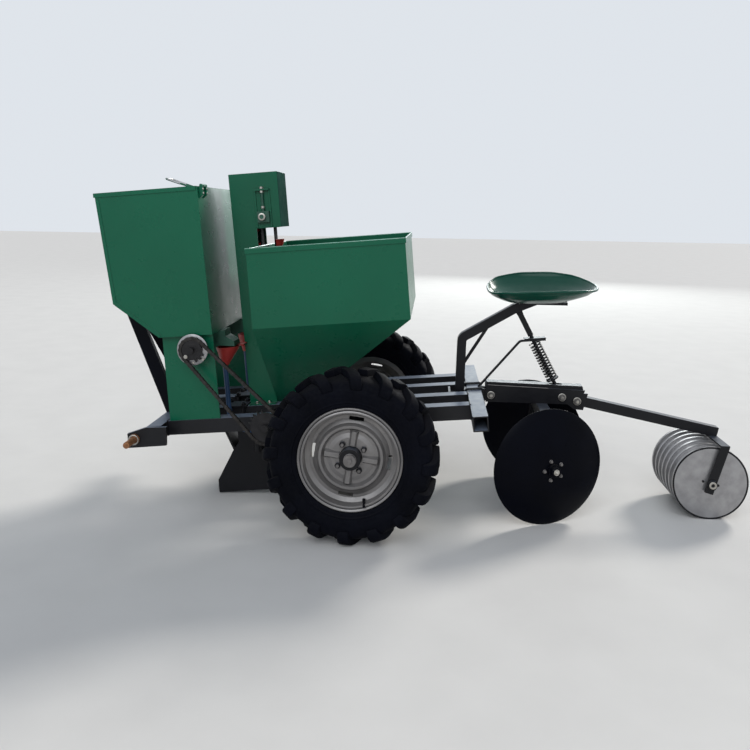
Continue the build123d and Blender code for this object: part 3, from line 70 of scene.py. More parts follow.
# Materials
def material(name, color, roughness, metallic=0.0, specular=0.5, coat=0.0, drift=5.0, change=0.1,
             dust_and_sheen=0.0, dust_and_sheen_color=(0.30, 0.27, 0.23), patchy=0.55, wear=0.0, wear_color=(0.25, 0.24, 0.23),
             grain=0.0, grain_scale=80.0, edge=0.0012):
    """Principled material: drifting colour, dust and painted sheen on upward faces, worn and rounded edges,
    fine grain.

    Drift and grain_scale are noise scales, patches to the metre, and edge is a radius in metres.
    """
    mat = bpy.data.materials.new(name)
    mat.use_nodes = True
    nodes, links = mat.node_tree.nodes, mat.node_tree.links
    shader = nodes["Principled BSDF"]
    shader.inputs["Metallic"].default_value = metallic
    shader.inputs["Specular IOR Level"].default_value = specular
    shader.inputs["Coat Weight"].default_value = coat
    shader.inputs["Coat Roughness"].default_value = 0.12
    place = nodes.new("ShaderNodeTexCoord").outputs["Object"]

    def cloud(scale, detail=4):
        """Noise over the object's own coordinates."""
        texture = nodes.new("ShaderNodeTexNoise")
        texture.inputs["Scale"].default_value = scale
        texture.inputs["Detail"].default_value = detail
        links.new(place, texture.inputs["Vector"])
        return texture.outputs["Fac"]

    def spread(source, low, high, start=0.0, end=1.0):
        """Maps a value from one range to another."""
        step = nodes.new("ShaderNodeMapRange")
        step.inputs["From Min"].default_value = low
        step.inputs["From Max"].default_value = high
        step.inputs["To Min"].default_value = start
        step.inputs["To Max"].default_value = end
        links.new(source, step.inputs["Value"])
        return step.outputs["Result"]

    def product(first, second):
        """Two values multiplied."""
        times = nodes.new("ShaderNodeMath")
        times.operation = "MULTIPLY"
        links.new(first, times.inputs[0])
        links.new(second, times.inputs[1])
        return times.outputs[0]

    def layer(below, amount, top_color):
        """A colour laid over what is below it."""
        mix = nodes.new("ShaderNodeMix")
        mix.data_type = "RGBA"
        links.new(amount, mix.inputs[0])
        links.new(below, mix.inputs[6])
        mix.inputs[7].default_value = (*top_color, 1)
        return mix.outputs[2]

    broad = cloud(drift)
    ramp = nodes.new("ShaderNodeValToRGB")
    ramp.color_ramp.elements[0].position = 0.32
    ramp.color_ramp.elements[0].color = (*[c * (1 - change) for c in color], 1)
    ramp.color_ramp.elements[1].position = 0.68
    ramp.color_ramp.elements[1].color = (*[min(1, c * (1 + change)) for c in color], 1)
    links.new(broad, ramp.inputs["Fac"])
    look = ramp.outputs["Color"]
    fine = cloud(drift * 9, 6)
    uneven = spread(fine, 0.3, 0.7, roughness * 0.85, min(1, roughness * 1.2))
    links.new(uneven, shader.inputs["Roughness"])
    normal = nodes.new("ShaderNodeNewGeometry").outputs["Normal"]
    if edge:
        rounded = nodes.new("ShaderNodeBevel")
        rounded.samples = 3
        rounded.inputs["Radius"].default_value = edge
        if wear:
            turn = nodes.new("ShaderNodeVectorMath")
            turn.operation = "DOT_PRODUCT"
            links.new(rounded.outputs["Normal"], turn.inputs[0])
            links.new(normal, turn.inputs[1])
            corners = spread(turn.outputs["Value"], 0.97, 0.8)
            patches = spread(fine, 0.45, 0.6, 0, wear)
            look = layer(look, product(corners, patches), wear_color)
    # Layer on upward faces: dust, and painted sheen where its colour is pale mint or bluish
    if dust_and_sheen:
        facing = nodes.new("ShaderNodeSeparateXYZ")
        links.new(normal, facing.inputs["Vector"])
        upward = spread(facing.outputs["Z"], 0.5, 1.0, 0, dust_and_sheen)
        patches = spread(fine, 0.3, 0.62, 1 - patchy, 1.0)
        look = layer(look, product(upward, patches), dust_and_sheen_color)
    links.new(look, shader.inputs["Base Color"])
    surface = rounded.outputs["Normal"] if edge else None
    if grain:
        dent = nodes.new("ShaderNodeBump")
        dent.inputs["Strength"].default_value = grain
        dent.inputs["Distance"].default_value = 0.001
        links.new(cloud(grain_scale, 3), dent.inputs["Height"])
        if surface:
            links.new(surface, dent.inputs["Normal"])
        surface = dent.outputs["Normal"]
    if surface:
        links.new(surface, shader.inputs["Normal"])
    return mat


BLACK = (0.006, 0.006, 0.0078)
# Pale mint for upward green faces: dust and painted sheen
PALE_DUST_AND_SHEEN = (0.22, 0.27, 0.25)
RUBBED = (0.09, 0.075, 0.065)
LOOKS = {
    "green_paint": dict(color=(0.0028, 0.109, 0.054), roughness=0.3, specular=0.26, coat=0.05, drift=2.2,
                        dust_and_sheen=0.16, dust_and_sheen_color=PALE_DUST_AND_SHEEN, wear=0.35, wear_color=(0.10, 0.22, 0.17),
                        grain=0.04, grain_scale=45),
    # The black paints' pale bluish layer on upward faces is painted sky sheen as well as dust
    "black_paint": dict(color=BLACK, roughness=0.38, specular=0.26, drift=7, change=0.25, dust_and_sheen=0.26,
                        dust_and_sheen_color=(0.20, 0.23, 0.29), patchy=0.3, wear=0.5, wear_color=RUBBED, grain=0.1,
                        grain_scale=70),
    "dust_and_sheen_paint": dict(color=BLACK, roughness=0.42, specular=0.34, drift=7, change=0.25, dust_and_sheen=0.68,
                        dust_and_sheen_color=(0.20, 0.24, 0.32), patchy=0.2, wear=0.5, wear_color=RUBBED, grain=0.1,
                        grain_scale=70),
    "bright_steel": dict(color=(0.44, 0.42, 0.38), roughness=0.34, metallic=1.0, drift=20, change=0.2,
                         grain=0.1, grain_scale=200, edge=0.0006),
    "chain_steel": dict(color=(0.040, 0.037, 0.035), roughness=0.42, metallic=0.8, drift=45, change=0.35,
                        dust_and_sheen=0.1, grain=0.1, grain_scale=300, edge=0.0005),
    "red_plastic": dict(color=(0.42, 0.028, 0.022), roughness=0.42, drift=14, change=0.12, grain=0.06,
                        grain_scale=120),
    "meter_casting": dict(color=(0.020, 0.085, 0.055), roughness=0.5, drift=16, change=0.25, dust_and_sheen=0.1,
                          grain=0.25, grain_scale=160),
    "rim_silver": dict(color=(0.21, 0.20, 0.195), roughness=0.36, metallic=0.55, specular=0.4, drift=9,
                       change=0.16, wear=0.3, wear_color=(0.09, 0.07, 0.055), grain=0.1, grain_scale=120),
    "tyre_rubber": dict(color=(0.0020, 0.0024, 0.0050), roughness=0.7, specular=0.07, drift=11, change=0.3,
                        dust_and_sheen=0.03, grain=0.3, grain_scale=260, edge=0.0025),
    "blade_paint": dict(color=(0.0015, 0.0019, 0.0044), roughness=0.32, specular=0.055, drift=8,
                        change=0.25, dust_and_sheen=0.05, wear=0.5, wear_color=(0.09, 0.085, 0.085), grain=0.05,
                        grain_scale=60),
    "galvanised": dict(color=(0.34, 0.335, 0.34), roughness=0.33, metallic=0.75, drift=30, change=0.14,
                       dust_and_sheen=0.12, wear=0.2, grain=0.12, grain_scale=90),
    "blue_hose": dict(color=(0.020, 0.062, 0.15), roughness=0.42, drift=18, change=0.15, grain=0.08,
                      grain_scale=150),
    "dull_steel": dict(color=(0.17, 0.16, 0.155), roughness=0.45, metallic=0.7, drift=25, change=0.3,
                       grain=0.15, grain_scale=160, edge=0.0006),
    "oiled_steel": dict(color=(0.016, 0.015, 0.016), roughness=0.4, metallic=0.5, drift=30, change=0.4,
                        wear=0.5, wear_color=(0.12, 0.11, 0.10), grain=0.15, grain_scale=160),
    "rusty_steel": dict(color=(0.30, 0.13, 0.055), roughness=0.6, metallic=0.3, drift=60, change=0.4,
                        grain=0.3, grain_scale=220),
    "seat_enamel": dict(color=(0.0036, 0.066, 0.042), roughness=0.22, specular=0.15, coat=0.12, drift=4,
                        dust_and_sheen=0.08, dust_and_sheen_color=PALE_DUST_AND_SHEEN, wear=0.3, wear_color=(0.30, 0.42, 0.38),
                        grain=0.02, grain_scale=45),
    # Dark matt green: painted shade for the back of the elevator's head
    "shade_sheet_paint": dict(color=(0.004, 0.040, 0.029), roughness=0.9, specular=0.03, drift=6, change=0.2,
                       grain=0.1, grain_scale=60, edge=0),
    # Paler green than the paint: a painted highlight for the hopper's edge
    "highlight_edge_paint": dict(color=(0.10, 0.30, 0.21), roughness=0.16, specular=0.8, coat=0.6, drift=20,
                        change=0.3, grain=0.05, grain_scale=90, edge=0),
}
FINISHES = {name: material(name, **look) for name, look in LOOKS.items()}
# CAD nodes whose look isn't that of their slot
NODE_FINISH = {"drive_sprockets": "oiled_steel", "ground_sprockets": "oiled_steel",
               "spring_rod": "black_paint", "elevator_shafts": "meter_casting",
               "meter_shaft": "oiled_steel", "jackshaft": "oiled_steel", "axle": "dull_steel",
               "gang_pins": "dull_steel", "hitch_pins": "rusty_steel", "spring": "oiled_steel",
               "frame_rails": "dust_and_sheen_paint", "rear_beam": "dust_and_sheen_paint", "front_beam": "dust_and_sheen_paint",
               "hitch_plates": "dust_and_sheen_paint", "mast": "blade_paint"}
node_slot = {entry["node"]: entry["material_slot"] for entry in frame["record"]["subparts"]}
for name, obj in frame["nodes"].items():
    obj.data.materials.clear()
    obj.data.materials.append(FINISHES[NODE_FINISH.get(name, node_slot[name])])


# Meshes
CORNER = 0.577  # a hexagon's corner from its middle, as a share of its width across flats
WELD_RADIUS = 3.0
WELD_RIPPLE = 0.004  # metres from one ring of a bead to the next
WOBBLE_SCALE = 160  # patches of noise to the metre


class Shape:
    """Collects the corners and faces of one piece."""

    def __init__(self):
        self.points = []
        self.faces = []

    def ring(self, points):
        """Adds a ring of corners and gives their numbers."""
        first = len(self.points)
        self.points += [tuple(p) for p in points]
        return list(range(first, len(self.points)))

    def skin(self, rings, around=True, loop=False, ends=False):
        """Joins rings of corners one after the other, and may close their ends."""
        rows = [self.ring(points) for points in rings]
        pairs = list(zip(rows, rows[1:])) + ([(rows[-1], rows[0])] if loop else [])
        for low, high in pairs:
            count = len(low)
            for i in range(count if around else count - 1):
                j = (i + 1) % count
                self.faces.append((low[i], low[j], high[j], high[i]))
        if ends:
            self.faces.append(tuple(reversed(rows[0])))
            self.faces.append(tuple(rows[-1]))

    def lathe(self, place, axis, profile, sides, ends=True, loop=False, phase=0.0):
        """Turns a profile of (along, radius) in millimetres about an axis."""
        axis = Vector(axis).normalized()
        first = axis.orthogonal().normalized()
        second = axis.cross(first)
        turns = [phase + 2 * pi * i / sides for i in range(sides)]
        rings = []
        for along, radius in profile:
            rings.append([place + axis * along * MM + (first * cos(t) + second * sin(t)) * radius * MM
                          for t in turns])
        self.skin(rings, ends=ends, loop=loop)

    def bolt(self, place, axis, width, height, washer=0.0, stub=0.0, turn=0.3):
        """Hexagon head or nut with its chamfer, and a washer and a thread end where they show."""
        base = 0.0
        if washer:
            self.lathe(place, axis, [(0, washer), (1.6, washer), (2, washer - 0.6), (2, width * 0.6)], 20)
            base = 1.9
        corner = width * CORNER
        top = base + height
        self.lathe(place, axis, [(base, corner), (top - 0.9, corner), (top, corner * 0.86)], 6, phase=turn)
        if stub:
            self.lathe(place, axis, [(top - 1, width * 0.3), (top + stub - 1, width * 0.3),
                                     (top + stub, width * 0.22)], 12)

    def tube(self, points, radius, sides=8, closed=False, wobble=0.0):
        """Round bar along points in metres, its radius in millimetres."""
        count = len(points)
        turns = [2 * pi * s / sides for s in range(sides)]
        rings = []
        side = None
        for i, point in enumerate(points):
            before = points[i - 1] if (i or closed) else points[0]
            after = points[(i + 1) % count] if (i < count - 1 or closed) else points[-1]
            run = (after - before).normalized()
            side = (run.orthogonal() if side is None else side - run * side.dot(run)).normalized()
            other = run.cross(side)
            swell = radius * (1 + wobble * noise.noise(point * WOBBLE_SCALE))
            rings.append([point + (side * cos(t) + other * sin(t)) * swell * MM for t in turns])
        self.skin(rings, loop=closed, ends=not closed)

    def slab(self, outline, offset, thick):
        """Flat plate: outline points in metres, pushed along the offset direction by its thickness."""
        push = offset.normalized() * thick * MM
        self.skin([list(outline), [p + push for p in outline]], ends=True)

    def weld(self, start, end):
        """Weld bead between two points, rippled along its run."""
        steps = max(4, int((end - start).length / WELD_RIPPLE))
        self.tube([start.lerp(end, i / steps) for i in range(steps + 1)], WELD_RADIUS, 6, wobble=0.5)


def piece(name, body, slot_name, shape, angle=32.0, stands_for=(), finish=""):
    """Makes a shape into an object that rides on a body, with its slot's finish or one of its own."""
    mesh = bpy.data.meshes.new(name)
    mesh.from_pydata(shape.points, [], shape.faces)
    mesh.validate()
    for face in mesh.polygons:
        face.use_smooth = True
    mesh.set_sharp_from_angle(angle=radians(angle))
    mesh.materials.append(FINISHES[finish or slot_name])
    obj = bpy.data.objects.new(name, mesh)
    bpy.context.collection.objects.link(obj)
    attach(obj, body)
    if stands_for:
        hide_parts(*stands_for)


# Tyres: a rounded carcass, and slanted lugs that run over the shoulder and down the side wall
LUGS = 16
TREAD_RADIUS = 285
# columns: distance from the tyre's middle, radius
CARCASS = [(50, 155), (53, 159), (54, 168), (57, 171.5), (60, 171), (63, 175), (64, 184), (66.5, 186),
           (67, 189), (66, 191), (68.5, 200), (70, 214), (70, 228), (68.5, 231), (68.5, 234), (66.5, 242),
           (61, 252), (52, 259), (38, 262), (20, 263.5), (0, 264)]
# columns: crest's distance out and radius, foot's distance out and radius, half width, shift round the tyre
LUG_STATIONS = [(-9, 284.2, -9, 262, 16, -22), (0, 285, 0, 262, 17, -18), (16, 285, 16, 262, 17, -10),
                (34, 284.6, 34, 260, 18, -1), (48, 281.5, 44, 257, 19, 7), (60, 276, 52, 254, 19.5, 13),
                (69, 268, 58, 248, 20, 18), (74, 258, 62, 240, 20, 21), (74.6, 247, 64, 232, 20, 22),
                (73, 238, 65, 226, 19, 22), (70.2, 231, 66, 222, 18, 22)]
# columns: share of the way from foot to crest, share of the half width
LUG_SECTION = [(0, -1.22), (0.86, -1.0), (0.97, -0.93), (1, -0.8), (1, 0.8), (0.97, 0.93), (0.86, 1.0),
               (0, 1.22)]
# Rim, valve and hub, with the distances from the tyre's middle in metres
FLANGE_OUT = 0.056
HUB_NUT_OUT = 0.068
STUD_OUT = 0.0335
STUD_CIRCLE = 0.050
STUD_PHASE = 0.63
VALVE_X, VALVE_OUT, VALVE_Z = 0.044, 0.030, -0.136
# columns: distance out from the flange, from the wheel's face or along the stem, radius
RIM_LIP = [(0, 168.8), (2.5, 169), (4.6, 167.6), (5, 165.8), (4, 163.6), (1.2, 162), (0.6, 160),
           (1.0, 157.5), (2.6, 155.5), (3, 153.5), (2.2, 151.2), (0, 150.4)]
# Dark ring in the lip's groove: painted shade
RIM_SHADE_RING = [(0, 157.5), (0.9, 158), (0.9, 161.5), (0, 162)]
VALVE_STEM = [(0, 5.5), (10, 4.6), (26, 3.8), (27, 4.4), (35, 4.4), (36.5, 3.4)]
HUB_CAP = [(0, 21), (2, 21), (3, 19), (3, 15)]
STUD_CAP = [(0, 6), (4, 6), (5.2, 5)]


def add_lug(tyre, middle, row, start):
    """Adds one lug of a row, -1 or 1, at a turn round the tyre."""
    rings = []
    for out, crest, foot_out, foot, half, shift in LUG_STATIONS:
        ring = []
        for share, wide in LUG_SECTION:
            turn = start + (shift + wide * half) / TREAD_RADIUS
            away = foot_out + (out - foot_out) * share
            r = foot + (crest - foot) * share
            ring.append(middle + Vector((r * sin(turn), row * away, r * cos(turn))) * MM)
        rings.append(ring if row > 0 else list(reversed(ring)))
    first = len(tyre.points)
    tyre.skin(rings, around=False)
    last = len(tyre.points)
    tyre.faces.append(tuple(range(last - len(LUG_SECTION), last)))
    tyre.faces.append(tuple(reversed(range(first, first + len(LUG_SECTION)))))


for wheel, hand in (("near", -1), ("far", 1)):
    body = "wheel_" + wheel
    middle = ground(0, hand * WHEEL_Y / MM, TYRE_RADIUS / MM)
    out = Vector((0, hand, 0))
    tyre = Shape()
    outline = CARCASS + [(-away, r) for away, r in reversed(CARCASS[:-1])]
    tyre.lathe(middle, ACROSS, outline, 128, ends=False, loop=True)
    for row, phase in ((-1, 0.0), (1, 0.5)):
        for lug in range(LUGS):
            add_lug(tyre, middle, row, 2 * pi * (phase + lug) / LUGS)
    piece("tyre_" + wheel + "_tread", body, "tyre_rubber", tyre, 40, ("tyre_" + wheel,))
    valve = Shape()
    stem = middle + Vector((VALVE_X, hand * VALVE_OUT, VALVE_Z))
    valve.lathe(stem, (0.1, hand, -0.35), VALVE_STEM, 14)
    piece("valve_" + wheel, body, "tyre_rubber", valve)
    flange = middle + out * FLANGE_OUT
    lip = Shape()
    lip.lathe(flange, out, RIM_LIP, 96, ends=False, loop=True)
    piece("rim_lip_" + wheel, body, "rim_silver", lip, 50)
    # Dark ring in the rim's groove: painted shade
    shade_ring = Shape()
    shade_ring.lathe(flange, out, RIM_SHADE_RING, 96, ends=False)
    piece("rim_shade_ring_" + wheel, body, "black_paint", shade_ring)
    cap = Shape()
    cap.lathe(flange, out, HUB_CAP, 28)
    cap.bolt(middle + out * HUB_NUT_OUT, out, 15, 5, turn=0.1)
    for stud in range(4):
        turn = 2 * pi * (STUD_PHASE + stud) / 4
        at_stud = middle + out * STUD_OUT + Vector((sin(turn), 0, cos(turn))) * STUD_CIRCLE
        cap.lathe(at_stud, out, STUD_CAP, 16)
    piece("wheel_fasteners_" + wheel, body, "bright_steel", cap, finish="dull_steel")

# Roller chains, link by link, over the same two loops as the solid bands
CHAIN_PITCH = 15.875
CHAIN_Y = 300
METER_END, JACK_END, AXLE_END = (-537, 352), (-304, 70), (0, 0)
LINK_END, LINK_WAIST, LINK_THICK = 6.0, 4.7, 1.3
INNER_LINK, OUTER_LINK = 3.1, 4.5
# columns: distance along, radius
CHAIN_ROLLER = [(0, 4.9), (5.8, 4.9)]
CHAIN_PIN = [(0, 2.1), (0.3, 2.6), (12.9, 2.6), (13.2, 2.1)]


def from_wheel(centre, radius, turn, along=0.0):
    """Point at a turn of a sprocket's pitch circle, or a length along the straight run from there."""
    onward = turn + pi / 2
    return (centre[0] + radius * cos(turn) + along * cos(onward),
            centre[1] + radius * sin(turn) + along * sin(onward))


def chain_pins(first, second):
    """Pins of a chain round two sprockets, each given by its place and its teeth."""
    (a, teeth_a), (b, teeth_b) = first, second
    ra, rb = [CHAIN_PITCH / 2 / sin(pi / teeth) for teeth in (teeth_a, teeth_b)]
    gap = hypot(b[0] - a[0], b[1] - a[1])
    heading = atan2(b[1] - a[1], b[0] - a[0])
    opening = acos((ra - rb) / gap)
    run = gap * sin(opening)
    arc_a, arc_b = ra * (2 * pi - 2 * opening), rb * 2 * opening
    total = 2 * run + arc_a + arc_b
    count = 2 * round(total / CHAIN_PITCH / 2)
    pins = []
    for i in range(count):
        s = total * i / count
        if s < arc_a:
            pins.append(from_wheel(a, ra, heading + opening + s / ra))
        elif s - arc_a < run:
            pins.append(from_wheel(a, ra, heading - opening, s - arc_a))
        elif s - arc_a - run < arc_b:
            pins.append(from_wheel(b, rb, heading - opening + (s - arc_a - run) / rb))
        else:
            pins.append(from_wheel(b, rb, heading + opening, s - arc_a - run - arc_b))
    return pins


def link_outline(start, end):
    """Outline of a link's plate between two pins: round at both and narrower between them."""
    along = atan2(end[1] - start[1], end[0] - start[0])
    middle = ((start[0] + end[0]) / 2, (start[1] + end[1]) / 2)
    outline = []
    for half_turn, pin in ((0, end), (pi, start)):
        for step in range(7):
            turn = along + half_turn - pi / 2 + pi * step / 6
            outline.append((pin[0] + LINK_END * cos(turn), pin[1] + LINK_END * sin(turn)))
        waist = along + half_turn + pi / 2
        outline.append((middle[0] + LINK_WAIST * cos(waist), middle[1] + LINK_WAIST * sin(waist)))
    return outline


for name, chain_y, first, second in (("drive_chain", -CHAIN_Y, (METER_END, 16), (JACK_END, 23)),
                                     ("ground_chain", CHAIN_Y, (AXLE_END, 23), (JACK_END, 16))):
    chain = Shape()
    pins = chain_pins(first, second)
    for i, pin in enumerate(pins):
        for profile, sides in ((CHAIN_ROLLER, 14), (CHAIN_PIN, 10)):
            half = profile[-1][0] / 2
            chain.lathe(machine(pin[0], chain_y - half, pin[1]), ACROSS, profile, sides)
        outline = link_outline(pin, pins[(i + 1) % len(pins)])
        aside = INNER_LINK if i % 2 else OUTER_LINK
        for hand in (-1, 1):
            corners = [machine(x, chain_y + hand * aside, z) for x, z in outline]
            chain.slab(corners, ACROSS * hand, LINK_THICK)
    piece(name + "_links", "chassis", "chain_steel", chain, 30, (name,))

# Cup elevator: rubber belt, pressed cups with rolled mouths, and their rivets
ELEVATOR_X, FOOT_Z = JACK_END
HEAD_Z = 789
BELT_RADIUS = 26.0
BELT_STEPS = 150
LEG = HEAD_Z - FOOT_Z
LOOP = 2 * LEG + 2 * pi * BELT_RADIUS
# columns: distance out from the belt's middle line, distance across
BELT_SECTION = [(-2, -21.5), (-2, 21.5), (-1.4, 22), (1.4, 22), (2, 21.5), (2, -21.5), (1.4, -22),
                (-1.4, -22)]
BELT_HALF = 2
CUPS = 22
CUP_REACH = 28
CUP_HALF = 20
CUP_BACK = 1.8  # out from the belt's middle line
RIVET_Y = 7
# columns: reach out from the belt, half width, as shares of the cup's own
CUP_PLAN = [(0.0, -1.0), (0.35, -1.0), (0.7, -0.9), (0.92, -0.62), (1.0, -0.28), (1.0, 0.28), (0.92, 0.62),
            (0.7, 0.9), (0.35, 1.0), (0.0, 1.0)]
# columns: height, scale of the plan, how far it stands off outward
CUP_OUTSIDE = [(-14, 0.55, 0), (-13, 0.66, 0), (-9, 0.76, 0), (0, 0.88, 0), (12, 0.99, 0), (13.4, 1.03, 0),
               (14, 1.02, 0)]
CUP_INSIDE = [(14, 0.96, 1), (12.5, 0.92, 1.2), (0, 0.80, 1.2), (-8, 0.68, 1.2), (-11.5, 0.55, 1.2)]
# columns: distance along, radius
RIVET_HEAD = [(0, 3.6), (0.8, 3.4), (1.6, 2)]


def belt_place(along):
    """Point of the belt's middle line and the way out from it, in the machine's x and z."""
    if along < LEG:
        return (ELEVATOR_X + BELT_RADIUS, FOOT_Z + along), (1, 0)
    if along < LOOP / 2:
        turn, z = (along - LEG) / BELT_RADIUS, HEAD_Z
    elif along < LOOP / 2 + LEG:
        return (ELEVATOR_X - BELT_RADIUS, HEAD_Z + LOOP / 2 - along), (-1, 0)
    else:
        turn, z = pi + (along - LOOP / 2 - LEG) / BELT_RADIUS, FOOT_Z
    out = (cos(turn), sin(turn))
    return (ELEVATOR_X + BELT_RADIUS * out[0], z + BELT_RADIUS * out[1]), out


belt = Shape()
rings = []
for i in range(BELT_STEPS):
    (x, z), out = belt_place(LOOP * i / BELT_STEPS)
    rings.append([machine(x + out[0] * deep, wide, z + out[1] * deep) for deep, wide in BELT_SECTION])
belt.skin(rings, loop=True)
piece("elevator_belt", "chassis", "tyre_rubber", belt, 40, ("cup_chain",))

cups, rivets = Shape(), Shape()
for number in range(CUPS):
    (x, z), out = belt_place((number + 0.5) * LOOP / CUPS)
    onward = (-out[1], out[0])
    rings = []
    for height, scale, off in CUP_OUTSIDE + CUP_INSIDE:
        ring = []
        for reach, wide in CUP_PLAN:
            away = CUP_BACK + off + CUP_REACH * reach * scale
            ring.append(machine(x + out[0] * away + onward[0] * height, CUP_HALF * wide * scale,
                                z + out[1] * away + onward[1] * height))
        rings.append(ring)
    cups.skin(rings, ends=True)
    for aside in (-RIVET_Y, RIVET_Y):
        inner = machine(x - out[0] * BELT_HALF, aside, z - out[1] * BELT_HALF)
        rivets.lathe(inner, -(REARWARD * out[0] + UPWARD * out[1]), RIVET_HEAD, 10)
piece("elevator_cups", "chassis", "red_plastic", cups, 50)
piece("elevator_rivets", "chassis", "bright_steel", rivets)

# Seat: pressed pan with a smooth dish and a rolled rim, cut higher along its sides
SEAT_X = 653
SEAT_HEIGHT = 472  # of the pan's floor over the axle, 1 mm above the seat's plate
SEAT_LEAN = radians(6.0)
SEAT_RISE = radians(2.0)
SEAT_REAR = Vector((cos(SEAT_RISE), 0, sin(SEAT_RISE)))
SEAT_SIDE = Vector((0, cos(SEAT_LEAN), sin(SEAT_LEAN)))
SEAT_UP = SEAT_REAR.cross(SEAT_SIDE).normalized()
SEAT_AT = ground(SEAT_X, 0, TYRE_RADIUS / MM + SEAT_HEIGHT)
SEAT_BOLT_X, SEAT_BOLT_Y = 52, 26
SHEET = 3  # thickness of the pressed pan
REAR_POWER, FRONT_POWER = 2.2, 2.8  # of the superellipses that are the two halves of its plan
PAN_TURNS = [2 * pi * (i + 0.5) / 96 for i in range(96)]
PAN_SHARES = (0.0, 0.06, 0.13, 0.22, 0.33, 0.45, 0.57, 0.69, 0.8, 0.9, 1.0)
# columns: height, reach to the front, reach to the rear, half width
PAN_RINGS = [(0, 95, 60, 64), (7, 150, 105, 102), (29, 190, 170, 148), (54, 206, 205, 178),
             (92, 216, 222, 200)]
# columns: distance to the rear, height of the rim's cut
RIM_LINE = [(-216, 38), (-190, 46), (-155, 58), (-60, 67), (60, 67), (130, 61), (180, 51), (222, 44)]


def between(table, value, column):
    """Value of a table's column, read between its rows."""
    for low, high in zip(table, table[1:]):
        if value <= high[0]:
            share = max(0.0, (value - low[0]) / (high[0] - low[0]))
            return low[column] + (high[column] - low[column]) * share
    return table[-1][column]


def pan_point(turn, height, inward=0.0):
    """Point of the pan's skin at a turn and a height, drawn in by a skin's thickness."""
    power = 2 / (REAR_POWER if cos(turn) > 0 else FRONT_POWER)
    reach = between(PAN_RINGS, height, 2 if cos(turn) > 0 else 1) - inward
    half = between(PAN_RINGS, height, 3) - inward
    fore = (1 if cos(turn) > 0 else -1) * reach * abs(cos(turn)) ** power
    aside = (1 if sin(turn) > 0 else -1) * half * abs(sin(turn)) ** power
    return fore, aside, height


def rim_height(turn):
    """Height at which the rim's cut meets the pan at a turn."""
    height = 50.0
    for _ in range(8):
        height = between(RIM_LINE, pan_point(turn, height)[0], 1)
    return height


def on_seat(fore, aside, height):
    """World place of a point of the seat."""
    return SEAT_AT + (SEAT_REAR * fore + SEAT_SIDE * aside + SEAT_UP * height) * MM


pan = Shape()
outer, inner = [], []
for share in PAN_SHARES:
    outer.append([on_seat(*pan_point(t, share * rim_height(t) + 0.01)) for t in PAN_TURNS])
    inner.append([on_seat(*pan_point(t, share * (rim_height(t) - SHEET) + SHEET, SHEET))
                  for t in PAN_TURNS])
for skin, level in ((outer, 0), (inner, SHEET)):
    for scale in (0.72, 0.4, 0.12):
        ring = []
        for t in PAN_TURNS:
            fore, aside = pan_point(t, 0.01)[:2]
            ring.append(on_seat(fore * scale, aside * scale, level))
        skin.insert(0, ring)
pan.skin(outer + list(reversed(inner)), ends=True)
rolled_edge = [on_seat(*pan_point(t, rim_height(t) - SHEET / 2, 0.5)) for t in PAN_TURNS]
pan.tube(rolled_edge, 4.2, 10, closed=True)
piece("seat_shell", "chassis", "green_paint", pan, 60, ("seat_pan",), "seat_enamel")
seat_bolts = Shape()
for fore in (-SEAT_BOLT_X, SEAT_BOLT_X):
    for aside in (-SEAT_BOLT_Y, SEAT_BOLT_Y):
        seat_bolts.bolt(on_seat(fore, aside, SHEET), SEAT_UP, 13, 6, washer=11)
piece("seat_bolts", "chassis", "bright_steel", seat_bolts)

# Disc blades: one smooth dish with a ground edge and its hub, a ring nut and bolts
DISC_RADIUS, DISC_TOE, DISC_X, DISC_Y = 203.0, radians(20.0), 660.0, 230.0
# columns: distance out from the hub's plane, radius
DISC_BARREL = [(-34, 12.6), (-34, 34), (0, 34)]
DISC_DISH = [(32, 36), (31.5, 60), (28.5, 85), (23, 115), (14.5, 150), (4, 180), (-3.2, 199), (-4, 201.5),
             (-3.6, 203), (-2.2, 203), (0.5, 199), (8, 180), (18.5, 150), (27, 115), (32.5, 85), (35.5, 60),
             (36, 40)]
DISC_HUB = [(36, 23), (44, 23), (45.5, 22), (45.5, 17.5), (56, 17.5), (58, 15.5), (58, 9)]
HUB_BOLTS = 5
# Faces of the hub, out from its plane, and the circle of its bolts, in metres
HUB_FACE, NUT_FACE, BOLT_CIRCLE = 0.0355, 0.0575, 0.034
for name, hand in (("disc_near", -1), ("disc_far", 1)):
    out = Vector((sin(DISC_TOE), hand * cos(DISC_TOE), 0))
    hub_at = ground(DISC_X, hand * DISC_Y, DISC_RADIUS)
    blade = Shape()
    blade.lathe(hub_at, out, DISC_BARREL + DISC_DISH + DISC_HUB, 120)
    piece(name + "_blade", name, "blade_paint", blade, 34, (name,))
    studs = Shape()
    side = out.cross(UP)
    for bolt in range(HUB_BOLTS):
        turn = 2 * pi * bolt / HUB_BOLTS
        place = hub_at + out * HUB_FACE + (side * cos(turn) + UP * sin(turn)) * BOLT_CIRCLE
        studs.bolt(place, out, 9, 6, washer=6.5, turn=turn)
    piece(name + "_bolts", name, "bright_steel", studs, finish="dull_steel")
    ring_nut = Shape()
    ring_nut.bolt(hub_at + out * NUT_FACE, out, 14, 5, washer=10.5, stub=3)
    piece(name + "_nut", name, "bright_steel", ring_nut)

